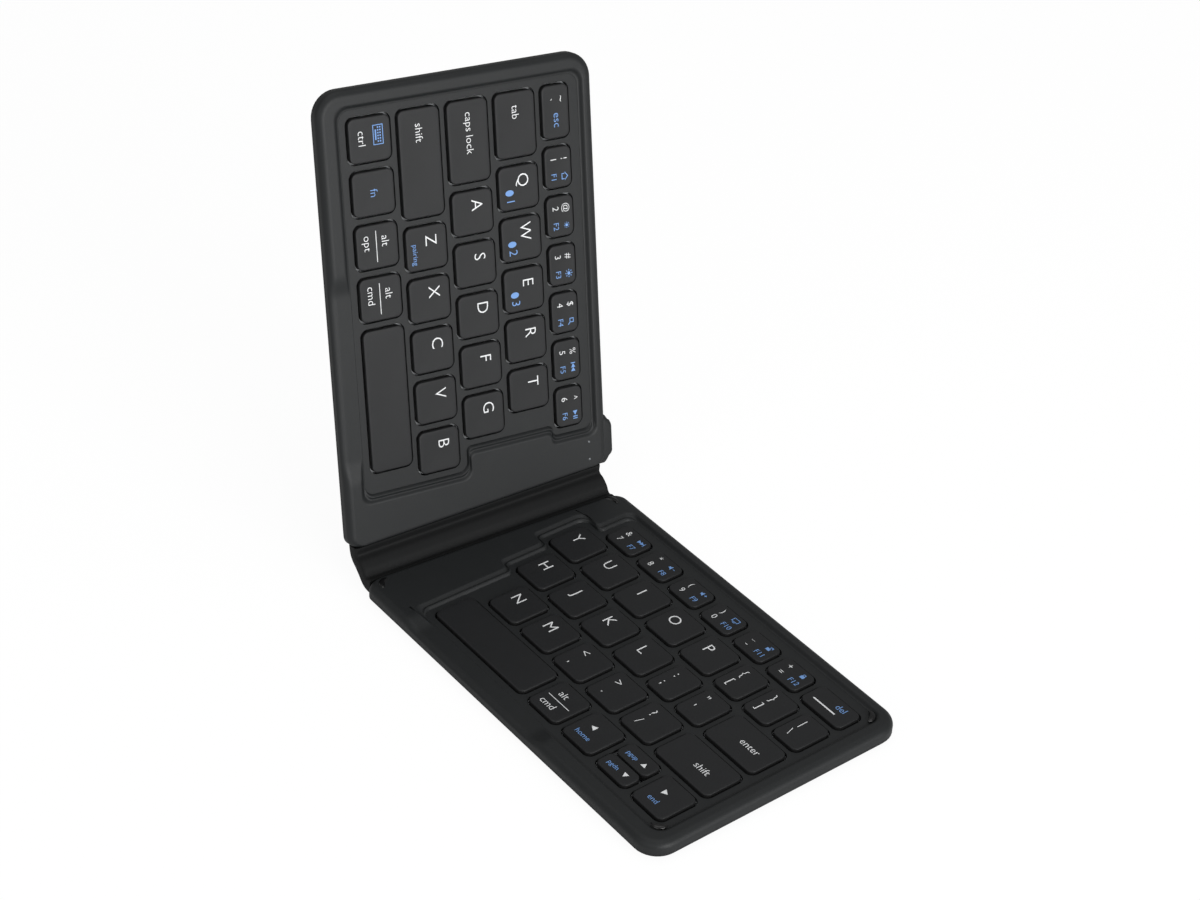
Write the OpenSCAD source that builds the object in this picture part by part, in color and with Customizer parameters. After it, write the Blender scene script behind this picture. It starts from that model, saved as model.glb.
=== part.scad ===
// Folding keyboard: two thin hard halves joined by a soft spine strap with two creases.
// The right half lies flat on the table, and the left half is drawn at its folded rest angle.
// Each half is built lying flat in its own frame: u runs from the crease to the outer side,
// v from front to back and z up from the underside. The left half is the mirror image in u.

/* [Halves] */
// Front edge of a half, from its crease to the outer side
half_w = 145.3; // [143:0.1:155]
// Height of a half, underside to the top of its rim
half_h = 5.8; // [5.6:0.1:7]
// Height of the parting line between case and cover
split_z = 2.4; // [2.2:0.1:2.8]
// Angle that the crease makes with the key columns
splay = 4.64; // [3:0.1:5]
// Radius of a half's two outer corners
corner_r = 8; // [6:0.5:9]
// Radius of a half's two corners at the spine
hinge_corner_r = 3.5; // [2:0.5:4]
// Width of the raised rim along the front
rim_front = 7; // [6.4:0.1:9]
// Width of the raised rim along the back
rim_back = 4.9; // [4.6:0.1:7]
// Width of the raised rim along the outer side
rim_side = 6.2; // [6:0.1:8]
// Thickness of the case floor
floor_t = 1; // [0.8:0.1:1.1]
// Thickness of the case walls
wall_t = 2.3; // [2:0.1:2.6]

/* [Key well] */
// Drop from the rim to the key deck
well_drop = 1.1; // [0.8:0.1:1.3]
// Thickness of the key deck
deck_t = 1; // [0.8:0.1:1.1]
// Bare border of the deck at the front and the outer side
deck_border = 2.2; // [1.9:0.1:3]
// Bare border of the deck behind the number row
deck_border_back = 3.2; // [2:0.1:4]
// Bare border of the deck on the spine side of each row
step_border = 1.9; // [1.6:0.1:2.4]
// Width of the ledge between the two steps on the spine side
step_w = 2.3; // [1.5:0.1:2.8]
// Height of the lower step on the spine side
step_h = 0.55; // [0.3:0.05:0.7]
// Width of the plain land from the crease to the longest key row
land_w = 15.6; // [14:0.1:18]
// Width of the sloping inner side of the rim
rim_slope = 0.9; // [0.4:0.1:1.4]
// Radius of the well's outer corners
well_r = 4; // [3:0.5:4.5]
// Length of the thumb scoop in the left front rim
left_scoop_w = 54; // [40:1:60]
// Length of the thumb scoop in the right front rim
right_scoop_w = 62; // [40:1:66]
// Length of the slope at each end of a scoop
scoop_slope = 4; // [3:0.5:6]

/* [Keys] */
// Width of a letter key cap
cap_w = 13.45; // [12.6:0.05:13.6]
// Depth of a letter key cap
cap_d = 13.8; // [13:0.05:14]
// Depth of a number row key cap
num_cap_d = 9.4; // [8:0.1:10]
// Width of a number row key cap
num_cap_w = 12.78; // [12:0.02:12.9]
// Clear gap round each key cap
key_gap = 0.55; // [0.4:0.05:0.6]
// Bridge of the deck between two keys in a row
web = 1.65; // [1.2:0.05:1.8]
// Bridge of the deck between two rows
row_web = 1.52; // [1.2:0.02:1.8]
// Height of the key tops above the deck
cap_proud = 0.8; // [0.5:0.1:1]
// Height of a key cap's skirt
cap_h = 2.2; // [2:0.1:2.4]
// Wall of a key cap
cap_wall = 0.9; // [0.7:0.1:1.2]
// Corner radius of a key cap
cap_r = 2; // [1.2:0.1:2.6]
// Travel of a key
travel = 1.2; // [0.8:0.1:1.2]
// Width of the escape key
esc_w = 16.5; // [15:0.1:17]
// Width of the tab key
tab_w = 20.05; // [18:0.1:21]
// Width of the caps lock key
caps_w = 25.1; // [23:0.1:26]
// Width of the left shift key
left_shift_w = 33.1; // [31:0.1:34]
// Width of the left space bar
left_space_w = 45; // [40:0.5:46]
// Width of the delete key
delete_w = 17.1; // [15:0.1:18]
// Width of the narrow punctuation keys
narrow_w = 10.6; // [10:0.1:11]
// Width of the enter key
enter_w = 21.6; // [20:0.1:22]
// Width of the right shift key
right_shift_w = 23.7; // [22:0.1:24.5]
// Width of the right space bar
right_space_w = 44.4; // [40:0.2:45]
// Gap between the two half-height arrow keys
arrow_gap = 0.6; // [0.4:0.1:1]

/* [Spine] */
// Distance between the two crease axes
spine_w = 9; // [8.4:0.1:10]
// Height of the crease axes above the underside
hinge_z = 2.3; // [2.1:0.1:2.5]
// Gap from a crease axis to the hard edge of a half
hinge_gap = 3.6; // [3.4:0.1:4]
// Fold of each crease in the drawn pose
fold = 37.1; // [0:0.1:60]
// Thickness of the soft strap
skin_t = 0.8; // [0.6:0.1:1]
// Distance from the ends of the strap to the front and back edges
strap_inset = 2.2; // [1.5:0.1:4]
// Depth of the groove along each crease
groove = 0.5; // [0.2:0.05:0.6]

/* [Inner pieces] */
// Thickness of the steel plate under the keys
plate_t = 0.4; // [0.3:0.05:0.5]
// Thickness of the switch membrane and of the dome sheet
film_t = 0.2; // [0.15:0.05:0.25]
// Height of a dome
dome_h = 1.4; // [1:0.1:1.5]
// Radius of a dome's foot
dome_r = 2.4; // [2:0.1:3]
// Length of the battery
battery_l = 34; // [28:1:35]
// Width of the battery
battery_w = 7.8; // [6:0.2:8]
// Thickness of the battery
battery_t = 2.8; // [2:0.1:3]
// Width of the charging socket
port_w = 7.8; // [7.4:0.1:9]
// Height of the charging socket
port_h = 2.6; // [2.4:0.1:2.8]
// Depth of the charging socket
port_d = 5.6; // [5:0.1:6.5]
// Width of the boss round the charging socket
boss_w = 11.8; // [11:0.1:14]
// Distance that the boss stands out from the back edge
boss_out = 2.3; // [1:0.1:3]
// Travel of the power slider
slider_travel = 2; // [1.5:0.1:2.5]
// Width of the ribbon cable through the spine
ribbon_w = 10; // [8:0.5:12]
// Radius of a rubber foot
foot_r = 4; // [3:0.5:5]
// Height of a rubber foot
foot_h = 0.4; // [0.3:0.1:1]
// Radius of a case screw's shank
screw_r = 0.8; // [0.7:0.05:0.9]

/* [Hidden] */

fit = 0.1;         // gap round a piece dropped into a pocket
run_fit = 0.05;    // radial gap round a screw
eps = 0.02;        // overlap that keeps a cut clean
slice = 0.01;      // height of the thin slices that a rounded body is stretched over
arc_n = 9;         // steps in the round corners of a half
key_arc_n = 4;     // steps in the round corners of a key

charcoal = "#3b3c3d";
key_grey = "#3a3b3c";
soft_grey = "#434446";
steel = "#a9adb2";
pcb_green = "#1f5a3c";

deck_z = half_h - well_drop;         // top of the key deck
cap_top = deck_z + cap_proud;
cap_z = cap_top - cap_h;             // bottom of the key skirts
slot_d = cap_d + 2 * key_gap;
num_slot_d = num_cap_d + 2 * key_gap;
row_pitch = slot_d + row_web;
front_margin = rim_front + deck_border;
row4_v = front_margin + row_pitch;
row3_v = row4_v + row_pitch;
row2_v = row3_v + row_pitch;
row1_v = row2_v + row_pitch;
well_back = row1_v + num_slot_d + deck_border_back;
half_d = well_back + rim_back;
key_end = half_w - rim_side - deck_border;   // outer end of every key row
film_z = floor_t + plate_t;
dome_z = film_z + film_t;
dome_top = dome_z + film_t + dome_h;

// Cap widths of each row from the outer side towards the spine; rows 5 to 1 run front to back
LEFT_CAPS = [
    [cap_w, cap_w, cap_w, cap_w, left_space_w],
    [left_shift_w, cap_w, cap_w, cap_w, cap_w, cap_w],
    [caps_w, cap_w, cap_w, cap_w, cap_w, cap_w],
    [tab_w, cap_w, cap_w, cap_w, cap_w, cap_w],
    [esc_w, num_cap_w, num_cap_w, num_cap_w, num_cap_w, num_cap_w, num_cap_w]];
RIGHT_CAPS = [
    [cap_w, cap_w, cap_w, cap_w, right_space_w],
    [right_shift_w, cap_w, cap_w, cap_w, cap_w, cap_w],
    [enter_w, narrow_w, narrow_w, cap_w, cap_w, cap_w, cap_w],
    [narrow_w, narrow_w, narrow_w, cap_w, cap_w, cap_w, cap_w, cap_w],
    [delete_w, num_cap_w, num_cap_w, num_cap_w, num_cap_w, num_cap_w, num_cap_w]];

// Caps widen or narrow together so that the longest row reaches from the outer rim to the land
function total(row, i = 0) = i == len(row) ? 0 : row[i] + total(row, i + 1);
function gaps(row) = 2 * key_gap * len(row) + web * (len(row) - 1);
row_room = key_end - land_w - step_border;
row_fill = min([for (row = concat(LEFT_CAPS, RIGHT_CAPS)) (row_room - gaps(row)) / total(row)]);
LEFT = row_fill * LEFT_CAPS;
RIGHT = row_fill * RIGHT_CAPS;
ROW_V = [front_margin, row4_v, row3_v, row2_v, row1_v];
ROW_CAP = [cap_d, cap_d, cap_d, cap_d, num_cap_d];

// Distance from a row's outer end to the start of its slot number i
function run(row, i) = i == 0 ? 0 : run(row, i - 1) + row[i - 1] + 2 * key_gap + web;
function row_len(row) = run(row, len(row)) - web;
function slot_u(row, i) = key_end - run(row, i) - row[i] - 2 * key_gap;

// The well's edge on the spine side of each row; two rows that share an edge take the longer
function edge(a, b) = key_end - max(row_len(a), row_len(b)) - step_border;
LEFT_EDGE = [edge(LEFT[0], LEFT[1]), edge(LEFT[0], LEFT[1]), edge(LEFT[2], LEFT[3]),
             edge(LEFT[2], LEFT[3]), edge(LEFT[4], LEFT[4])];
RIGHT_EDGE = [edge(RIGHT[0], RIGHT[1]), edge(RIGHT[0], RIGHT[1]), edge(RIGHT[2], RIGHT[2]),
              edge(RIGHT[3], RIGHT[3]), edge(RIGHT[4], RIGHT[4])];

// Round corners for any outline: each corner is swapped for an arc of radius r[i] in n steps
function unit(p) = p / norm(p);
function turn(a) = (a % 360 + 540) % 360 - 180;
function arc(c, r, a0, sweep, n) = [for (k = [0:n]) c + r * [cos(a0 + sweep * k / n), sin(a0 + sweep * k / n)]];
function corner(p, a, b, r, n) =
    let (d1 = unit(a - p), d2 = unit(b - p), half = acos(d1 * d2) / 2,
         c = p + unit(d1 + d2) * r / sin(half), s = p + d1 * r / tan(half) - c,
         e = p + d2 * r / tan(half) - c, a0 = atan2(s[1], s[0]), a1 = atan2(e[1], e[0]))
    arc(c, r, a0, turn(a1 - a0), n);
function rounded(p, r, n) = [for (i = [0:len(p) - 1])
    each (r[i] > 0 ? corner(p[i], p[(i + len(p) - 1) % len(p)], p[(i + 1) % len(p)], r[i], n) : [p[i]])];
function box_pts(u0, v0, u1, v1) = [[u0, v0], [u1, v0], [u1, v1], [u0, v1]];
function round_box(u0, v0, u1, v1, r, n) = rounded(box_pts(u0, v0, u1, v1), [r, r, r, r], n);

// The crease runs through the frame's origin, leaning outwards towards the back
function crease_u(v, off) = off / cos(splay) + v * tan(splay);
function half_pts(inset, off) = rounded(
    [[crease_u(inset, off), inset], [half_w - inset, inset],
     [half_w - inset, half_d - inset], [crease_u(half_d - inset, off), half_d - inset]],
    [hinge_corner_r, max(corner_r - inset, 1), max(corner_r - inset, 1), hinge_corner_r], arc_n);

// The well: straight at the front, back and outer side, stepped row by row on the spine side
function step_v(edges, i) = edges[i + 1] > edges[i] ? ROW_V[i] + slot_d + 2.4 : ROW_V[i + 1] - row_web / 2;
function step_pts(edges, inset) = [for (i = [3:-1:0]) if (edges[i] != edges[i + 1])
    let (v = step_v(edges, i) - inset * sign(edges[i + 1] - edges[i]))
    each [[edges[i + 1] + inset, v], [edges[i] + inset, v]]];
function well_corners(edges, inset) = concat(
    [[key_end + deck_border - inset, rim_front + inset], [key_end + deck_border - inset, well_back - inset],
     [edges[4] + inset, well_back - inset]],
    step_pts(edges, inset), [[edges[0] + inset, rim_front + inset]]);
function well_pts(edges, inset) = let (p = well_corners(edges, inset), last = len(p) - 1)
    rounded(p, [for (i = [0:last]) i < 2 ? well_r : (i == 2 || i == last ? 3 : 1.7)], arc_n);

module slab(z, pts) translate([0, 0, z]) linear_extrude(slice) polygon(pts);
module prism(z0, z1, pts) translate([0, 0, z0]) linear_extrude(z1 - z0) polygon(pts);
module block(u0, v0, z0, u1, v1, z1) translate([u0, v0, z0]) cube([u1 - u0, v1 - v0, z1 - z0]);

// Places of the two halves and of the strap: the origin is the middle of the right underside
mid_u = (half_w + hinge_gap) / 2;
mid_v = half_d / 2;
crease_x = -(mid_u * cos(splay) - mid_v * sin(splay));
crease_y = -(mid_u * sin(splay) + mid_v * cos(splay));
crease_l = half_d / cos(splay);
module fold_at(x) translate([x, 0, hinge_z]) rotate([0, fold, 0]) translate([-x, 0, -hinge_z]) children();
module right() translate([crease_x, crease_y, 0]) rotate([0, 0, splay]) children();
module left() fold_at(crease_x) fold_at(crease_x - spine_w)
    translate([crease_x - spine_w, crease_y, 0]) mirror([1, 0, 0]) rotate([0, 0, splay]) children();

// Hard shell: inset of the outline at each height, below and above the parting line
CASE_SIDE = [[0, 2.2], [0.4, 1.2], [1, 0.4]];
COVER_SIDE = [[half_h - 1.3, 0.35], [half_h - 0.6, 1], [half_h - 0.2, 1.9], [half_h - slice, 3]];
module shell_body(z0, z1, side) hull() {
    prism(z0, z1, half_pts(0, hinge_gap));
    for (s = side) slab(s[0], half_pts(s[1], hinge_gap));
}
boss_u0 = 13.1;
boss_u = boss_u0 + boss_w / 2;
module boss_body(z0, z1, inset0, inset1) hull() {
    slab(z0, round_box(boss_u0 + inset0, half_d - rim_back, boss_u0 + boss_w - inset0,
                       half_d + boss_out - inset0, 1.6, 4));
    slab(z1 - slice, round_box(boss_u0 + inset1, half_d - rim_back, boss_u0 + boss_w - inset1,
                               half_d + boss_out - inset1, 1.6, 4));
}

// Screws in the corners of the underside; the one at the back of the spine side keeps clear of the socket
screw_in = 5;
SCREWS = [[crease_u(screw_in, hinge_gap + screw_in), screw_in], [half_w - screw_in, screw_in],
          [half_w - screw_in, half_d - screw_in], [crease_u(half_d - 12, hinge_gap + screw_in), half_d - 12]];
screw_head_r = 2 * screw_r;
screw_head_h = 0.7;
screw_l = half_h - 1.4;
module case_screw() {
    cylinder(r = screw_head_r, h = screw_head_h, $fn = 32);
    cylinder(r = screw_r, h = screw_l, $fn = 32);
}
module screw_cut() {
    translate([0, 0, -eps]) cylinder(r = screw_head_r + fit, h = screw_head_h + eps, $fn = 32);
    translate([0, 0, -eps]) cylinder(r = screw_r + run_fit, h = screw_l + fit + eps, $fn = 32);
}

// Bottom tray of a half; the hinge wall has a notch where the ribbon cable goes through
ribbon_v = 52;
magnet_v = half_d / 2;
magnet = [3, 12, 1.2];
module tray() difference() {
    shell_body(split_z - 0.8, split_z, CASE_SIDE);
    difference() {
        prism(floor_t, split_z + 1, half_pts(wall_t, hinge_gap + wall_t));
        for (s = SCREWS) translate([s[0], s[1], 0]) cylinder(r = screw_r + 1.2, h = half_h, $fn = 32);
    }
    for (s = SCREWS) translate([s[0], s[1], 0]) screw_cut();
    block(0, ribbon_v - ribbon_w / 2 - 2, hinge_z - 0.4, crease_u(ribbon_v, hinge_gap + wall_t) + 2,
          ribbon_v + ribbon_w / 2 + 2, split_z + 1);
}

// Top frame of a half: rim, land and the stepped well, with a ledge that carries the deck
ledge_w = 1.2;
ledge_z = deck_z - deck_t;
land_t = 1;
module rim_chamfer(edges) let (u0 = max(edges) + step_w, u1 = key_end + deck_border) hull() {
    slab(deck_z, round_box(u0, rim_front + 0.1, u1 - 0.1, well_back - 0.1, well_r, arc_n));
    slab(half_h + 0.2, round_box(u0, rim_front - rim_slope - 0.1, u1 + rim_slope + 0.1,
                                 well_back + rim_slope + 0.1, well_r + rim_slope, arc_n));
}
// Scoop: a trough across the front rim, with ends that rise in a half wave
scoop_u0 = 24;
scoop_n = 6;
scoop_top = half_h + 0.05;
scoop_drop = well_drop + 0.05;
function wave(i) = (1 - cos(180 * i / scoop_n)) / 2;
module scoop(w) translate([0, rim_front + 1, 0]) rotate([90, 0, 0]) linear_extrude(rim_front + 2)
    polygon(concat(
        [for (i = [0:scoop_n]) [scoop_u0 + scoop_slope * i / scoop_n, scoop_top - scoop_drop * wave(i)]],
        [for (i = [0:scoop_n]) [scoop_u0 + w - scoop_slope + scoop_slope * i / scoop_n,
                                scoop_top - scoop_drop + scoop_drop * wave(i)]],
        [[scoop_u0 + w, half_h + 1], [scoop_u0, half_h + 1]]));
module frame(edges, scoop_w, bay) difference() {
    shell_body(split_z, half_h - 2.2, COVER_SIDE);
    prism(ledge_z, half_h + 1, well_pts(edges, 0));
    prism(split_z - 1, half_h, well_pts(edges, ledge_w));
    prism(deck_z + step_h, half_h + 1, well_pts([for (e = edges) e - step_w - 0.05], 0.05));
    rim_chamfer(edges);
    scoop(scoop_w);
    prism(split_z - 1, half_h - land_t, bay);
    for (s = SCREWS) translate([s[0], s[1], 0]) screw_cut();
}
function bay_pts(steps) = concat(
    [[crease_u(half_d - rim_back, hinge_gap + wall_t), half_d - rim_back],
     [crease_u(rim_front, hinge_gap + wall_t), rim_front]], steps);
bay_step_v = row3_v + 1;
RIGHT_BAY = bay_pts([[min(RIGHT_EDGE) - ledge_w, rim_front], [min(RIGHT_EDGE) - ledge_w, half_d - rim_back]]);
LEFT_BAY = bay_pts([[LEFT_EDGE[0] - ledge_w, rim_front], [LEFT_EDGE[0] - ledge_w, bay_step_v],
                    [LEFT_EDGE[4] - ledge_w, bay_step_v], [LEFT_EDGE[4] - ledge_w, half_d - rim_back]]);

// Key deck: a plate with one rounded slot for each key; the two short arrows share a slot
module key_slot(rows, r, i) polygon(round_box(
    slot_u(rows[r], i), ROW_V[r], slot_u(rows[r], i) + rows[r][i] + 2 * key_gap,
    ROW_V[r] + ROW_CAP[r] + 2 * key_gap, cap_r + key_gap, key_arc_n));
module deck(rows, edges) translate([0, 0, ledge_z]) linear_extrude(deck_t) difference() {
    polygon(well_pts(edges, fit));
    for (r = [0:4]) for (i = [0:len(rows[r]) - 1]) key_slot(rows, r, i);
}

// Key cap: flat top with softened edges over a hollow skirt, and a stem that meets the dome
cap_bevel = 0.35;
stem_r = 1.4;
module cap(u, v, w, d) difference() {
    hull() {
        prism(cap_z, cap_top - cap_bevel, round_box(u, v, u + w, v + d, cap_r, key_arc_n));
        slab(cap_top - slice, round_box(u + cap_bevel, v + cap_bevel, u + w - cap_bevel, v + d - cap_bevel,
                                        cap_r - cap_bevel, key_arc_n));
    }
    difference() {
        prism(cap_z - 1, cap_top - cap_wall,
              box_pts(u + cap_wall, v + cap_wall, u + w - cap_wall, v + d - cap_wall));
        translate([u + w / 2, v + d / 2, dome_top + fit]) cylinder(r = stem_r, h = half_h, $fn = 24);
    }
}
module key(rows, r, i) cap(slot_u(rows[r], i) + key_gap, ROW_V[r] + key_gap, rows[r][i], ROW_CAP[r]);
module keys(rows, r, first, last) for (i = [first:last]) key(rows, r, i);
short_d = (cap_d - arrow_gap) / 2;
module short_key(v) cap(slot_u(RIGHT[0], 1) + key_gap, front_margin + key_gap + v, RIGHT[0][1], short_d);

// Plate, membrane and dome sheet lie on the case floor under the deck
stack_inset = ledge_w + 0.3;
module film(edges, z, t) prism(z, z + t, well_pts(edges, stack_inset));
module dome(u, v) translate([u, v, dome_z]) cylinder(r1 = dome_r, r2 = dome_r * 0.55, h = film_t + dome_h, $fn = 24);
module row_domes(rows, r, first, last) for (i = [first:last])
    dome(slot_u(rows[r], i) + key_gap + rows[r][i] / 2, ROW_V[r] + key_gap + ROW_CAP[r] / 2);
module domes(rows, edges) {
    film(edges, dome_z, film_t);
    for (r = [1:4]) row_domes(rows, r, 0, len(rows[r]) - 1);
    row_domes(rows, 0, 2, 4);
    row_domes(rows, 0, 0, 0);
}

foot_in = 16;
module feet() for (p = [[foot_in, foot_in], [half_w - foot_in, foot_in],
                        [half_w - foot_in, half_d - foot_in], [foot_in + 6, half_d - foot_in]])
    translate([p[0], p[1], -foot_h]) cylinder(r = foot_r, h = foot_h, $fn = 48);
module magnet_bar() block(half_w - wall_t - 0.4 - magnet[0], magnet_v - magnet[1] / 2, floor_t,
                          half_w - wall_t - 0.4, magnet_v + magnet[1] / 2, floor_t + magnet[2]);
module screws() for (s = SCREWS) translate([s[0], s[1], 0]) case_screw();

// Crescent pads in the corners of the right rim, each curved round its own corner
pad_in = 8.4;
pad_r = 3.4;
pad_w = 1.2;
pad_deep = 0.6;
pad_proud = 0.3;
PADS = [[crease_u(pad_in, hinge_gap + pad_in - 1), pad_in, 225], [half_w - pad_in, pad_in, 315],
        [half_w - pad_in, half_d - pad_in, 45], [crease_u(half_d - pad_in, hinge_gap + pad_in - 1), half_d - pad_in, 135]];
function crescent(grow) = concat(arc([0, 0], pad_r + grow, -38, 76, 8), arc([0, 0], pad_r - pad_w - grow, 38, -76, 8));
module crescents(grow, z0, z1) for (p = PADS) translate([p[0], p[1], 0]) rotate([0, 0, p[2]])
    prism(z0, z1, crescent(grow));

// Socket, light pipes and switch in the left half's back edge
board_t = 0.8;
board_top = floor_t + board_t;
board_l = 42;
board_v0 = half_d - rim_back - board_l;
led_v = half_d - 6.7;
LED_U = [boss_u0 + 0.7, boss_u0 + 6.6];
led_r = 0.5;
port_v1 = half_d + boss_out - 0.3;
port_cut = [port_w + 2 * fit, port_h + 2 * fit];
switch_size = [8, 2.6, 1.3];
switch_off = 10.78;     // from the well's edge to the middle of the switch
switch_u = LEFT_EDGE[4] + switch_off;
slider_w = 2.6;
slider_z = floor_t + 0.3;
slider_h = 1;
module port_hole() block(boss_u - port_cut[0] / 2, port_v1 - port_d - 2, board_top - fit,
                         boss_u + port_cut[0] / 2, half_d + boss_out + 1, board_top + port_h + fit);
module slider_hole() block(switch_u - slider_w / 2 - slider_travel / 2 - fit, half_d - wall_t - 0.5, slider_z - fit,
                           switch_u + slider_w / 2 + slider_travel / 2 + fit, half_d + 1, slider_z + slider_h + fit);

// Right half
module right_case() color(charcoal) right() tray();
module right_cover() color(soft_grey) right() difference() {
    frame(RIGHT_EDGE, right_scoop_w, RIGHT_BAY);
    crescents(fit, half_h - pad_deep, half_h + 1);
}
module right_deck() color(charcoal) right() deck(RIGHT, RIGHT_EDGE);
module right_plate() color(steel) right() film(RIGHT_EDGE, floor_t, plate_t);
tail_u = 12;
module right_membrane() color("#d8d6c8") right() {
    film(RIGHT_EDGE, film_z, film_t);
    block(tail_u, ribbon_v - ribbon_w / 2 - 1, film_z, RIGHT_EDGE[2] + stack_inset + 2,
          ribbon_v + ribbon_w / 2 + 1, film_z + film_t);
}
module right_domes() color("#c9ccce") right() {
    domes(RIGHT, RIGHT_EDGE);
    for (v = [0, short_d + arrow_gap])
        dome(slot_u(RIGHT[0], 1) + key_gap + RIGHT[0][1] / 2, front_margin + key_gap + v + short_d / 2);
}
module right_feet() color("#1d1d1e") right() feet();
module right_screws() color(steel) right() screws();
module right_magnet() color(steel) right() magnet_bar();
module corner_pads() color("#202122") right() crescents(0, half_h - pad_deep, half_h + pad_proud);

// Spine: stiff bar, soft sleeve that bends at both creases, and the ribbon cable inside
strap_y0 = crease_y + strap_inset;
strap_y1 = crease_y + crease_l - strap_inset;
skin_top = half_h - 0.2;
skin_low = 0.2;
bar_side = 0.4;
slot_t = 0.8;
AXIS = [crease_x, hinge_z];
AXIS2 = [crease_x - spine_w, hinge_z];
function swing(p, c) = c + [(p[0] - c[0]) * cos(fold) + (p[1] - c[1]) * sin(fold),
                            (p[1] - c[1]) * cos(fold) - (p[0] - c[0]) * sin(fold)];
function on_spine(p) = swing(p, AXIS);
function on_left(p) = swing(swing(p, AXIS2), AXIS);
// Point on the crease's bisector where two surfaces at height z meet, less a drop
function bite(z, drop) = AXIS + ((z - hinge_z) / cos(fold / 2) - drop) * [sin(fold / 2), cos(fold / 2)];
function bite2(z, drop) = on_spine(AXIS2 + ((z - hinge_z) / cos(fold / 2) - drop) * [sin(fold / 2), cos(fold / 2)]);
lip = (skin_top - hinge_z) * tan(fold / 2) + 0.6;
SKIN_OUT = [
    [crease_x + hinge_gap, skin_low], [crease_x + hinge_gap, skin_top], [crease_x + lip, skin_top],
    bite(skin_top, groove), on_spine([crease_x - lip, skin_top]), on_spine([crease_x - spine_w + lip, skin_top]),
    bite2(skin_top, groove), on_left([crease_x - spine_w - lip, skin_top]),
    on_left([crease_x - spine_w - hinge_gap, skin_top]), on_left([crease_x - spine_w - hinge_gap, skin_low]),
    on_left([crease_x - spine_w, skin_low]), on_spine([crease_x - spine_w, skin_low]),
    on_spine([crease_x, skin_low]), [crease_x, skin_low]];
void_top = skin_top - skin_t;
void_low = skin_low + skin_t;
SKIN_IN = [
    [crease_x + hinge_gap + 1, void_low], [crease_x + hinge_gap + 1, void_top], bite(void_top, 0),
    bite2(void_top, 0), on_left([crease_x - spine_w - hinge_gap - 1, void_top]),
    on_left([crease_x - spine_w - hinge_gap - 1, void_low]), on_left([crease_x - spine_w, void_low]),
    on_spine([crease_x - spine_w, void_low]), on_spine([crease_x, void_low]), [crease_x, void_low]];
module along_y(y0, y1, pts) translate([0, y1, 0]) rotate([90, 0, 0]) linear_extrude(y1 - y0) polygon(pts);
ribbon_y = crease_y + ribbon_v;
module spine_bar() color(charcoal) fold_at(crease_x) difference() {
    along_y(strap_y0 + skin_t, strap_y1 - skin_t,
            round_box(crease_x - spine_w + bar_side, void_low, crease_x - bar_side, void_top, 1.2, 5));
    block(crease_x - spine_w, ribbon_y - ribbon_w / 2 - 1, hinge_z - slot_t / 2,
          crease_x, ribbon_y + ribbon_w / 2 + 1, hinge_z + slot_t / 2);
}
module hinge_skin() color(soft_grey) difference() {
    along_y(strap_y0, strap_y1, SKIN_OUT);
    along_y(strap_y0 + skin_t, strap_y1 - skin_t, SKIN_IN);
}
ribbon_t = 0.2;
ribbon_r = 16;     // reach of the ribbon into the right half
ribbon_s = 10;     // reach of the ribbon into the left half
function ribbon_side(dz) = [
    [crease_x + ribbon_r, film_z + film_t + ribbon_t / 2 + dz],
    [crease_x + ribbon_r - 4, film_z + film_t + ribbon_t / 2 + dz], [crease_x + hinge_gap + 4, hinge_z + dz],
    bite(hinge_z + dz, 0), bite2(hinge_z + dz, 0), on_left([crease_x - spine_w - ribbon_s, hinge_z + dz])];
module ribbon_cable() color("#b8862b") along_y(ribbon_y - ribbon_w / 2, ribbon_y + ribbon_w / 2,
    concat(ribbon_side(-ribbon_t / 2), [for (i = [5:-1:0]) ribbon_side(ribbon_t / 2)[i]]));

// Left half
module left_case() color(charcoal) left() difference() {
    union() {
        tray();
        difference() {
            boss_body(0.6, split_z, 0.8, 0);
            block(0, 0, 0, half_w, half_d - wall_t, half_h);
        }
    }
    port_hole();
    slider_hole();
}
module left_cover() color(soft_grey) left() difference() {
    union() {
        frame(LEFT_EDGE, left_scoop_w, LEFT_BAY);
        difference() {
            boss_body(split_z, half_h - 0.5, 0, 0.9);
            block(0, 0, 0, half_w, half_d - rim_back + 1, half_h - land_t);
        }
    }
    port_hole();
    for (u = LED_U) translate([u, led_v, split_z]) cylinder(r = led_r + run_fit, h = half_h, $fn = 24);
}
module left_deck() color(charcoal) left() deck(LEFT, LEFT_EDGE);
module left_plate() color(steel) left() film(LEFT_EDGE, floor_t, plate_t);
module left_membrane() color("#d8d6c8") left() film(LEFT_EDGE, film_z, film_t);
module left_domes() color("#c9ccce") left() {
    domes(LEFT, LEFT_EDGE);
    row_domes(LEFT, 0, 1, 1);
}
module left_feet() color("#1d1d1e") left() feet();
module left_screws() color(steel) left() screws();
module left_magnet() color(steel) left() magnet_bar();
board_v1 = half_d - rim_back + 1.5;
board_u1 = min([for (i = [2:4]) LEFT_EDGE[i]]) + stack_inset - 0.6;
plug_u = crease_u(ribbon_v, hinge_gap + wall_t) + 3;
plug_l = 4;
chip = [6, 6, 0.9];
chip_v = board_v0 + 20;
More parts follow.
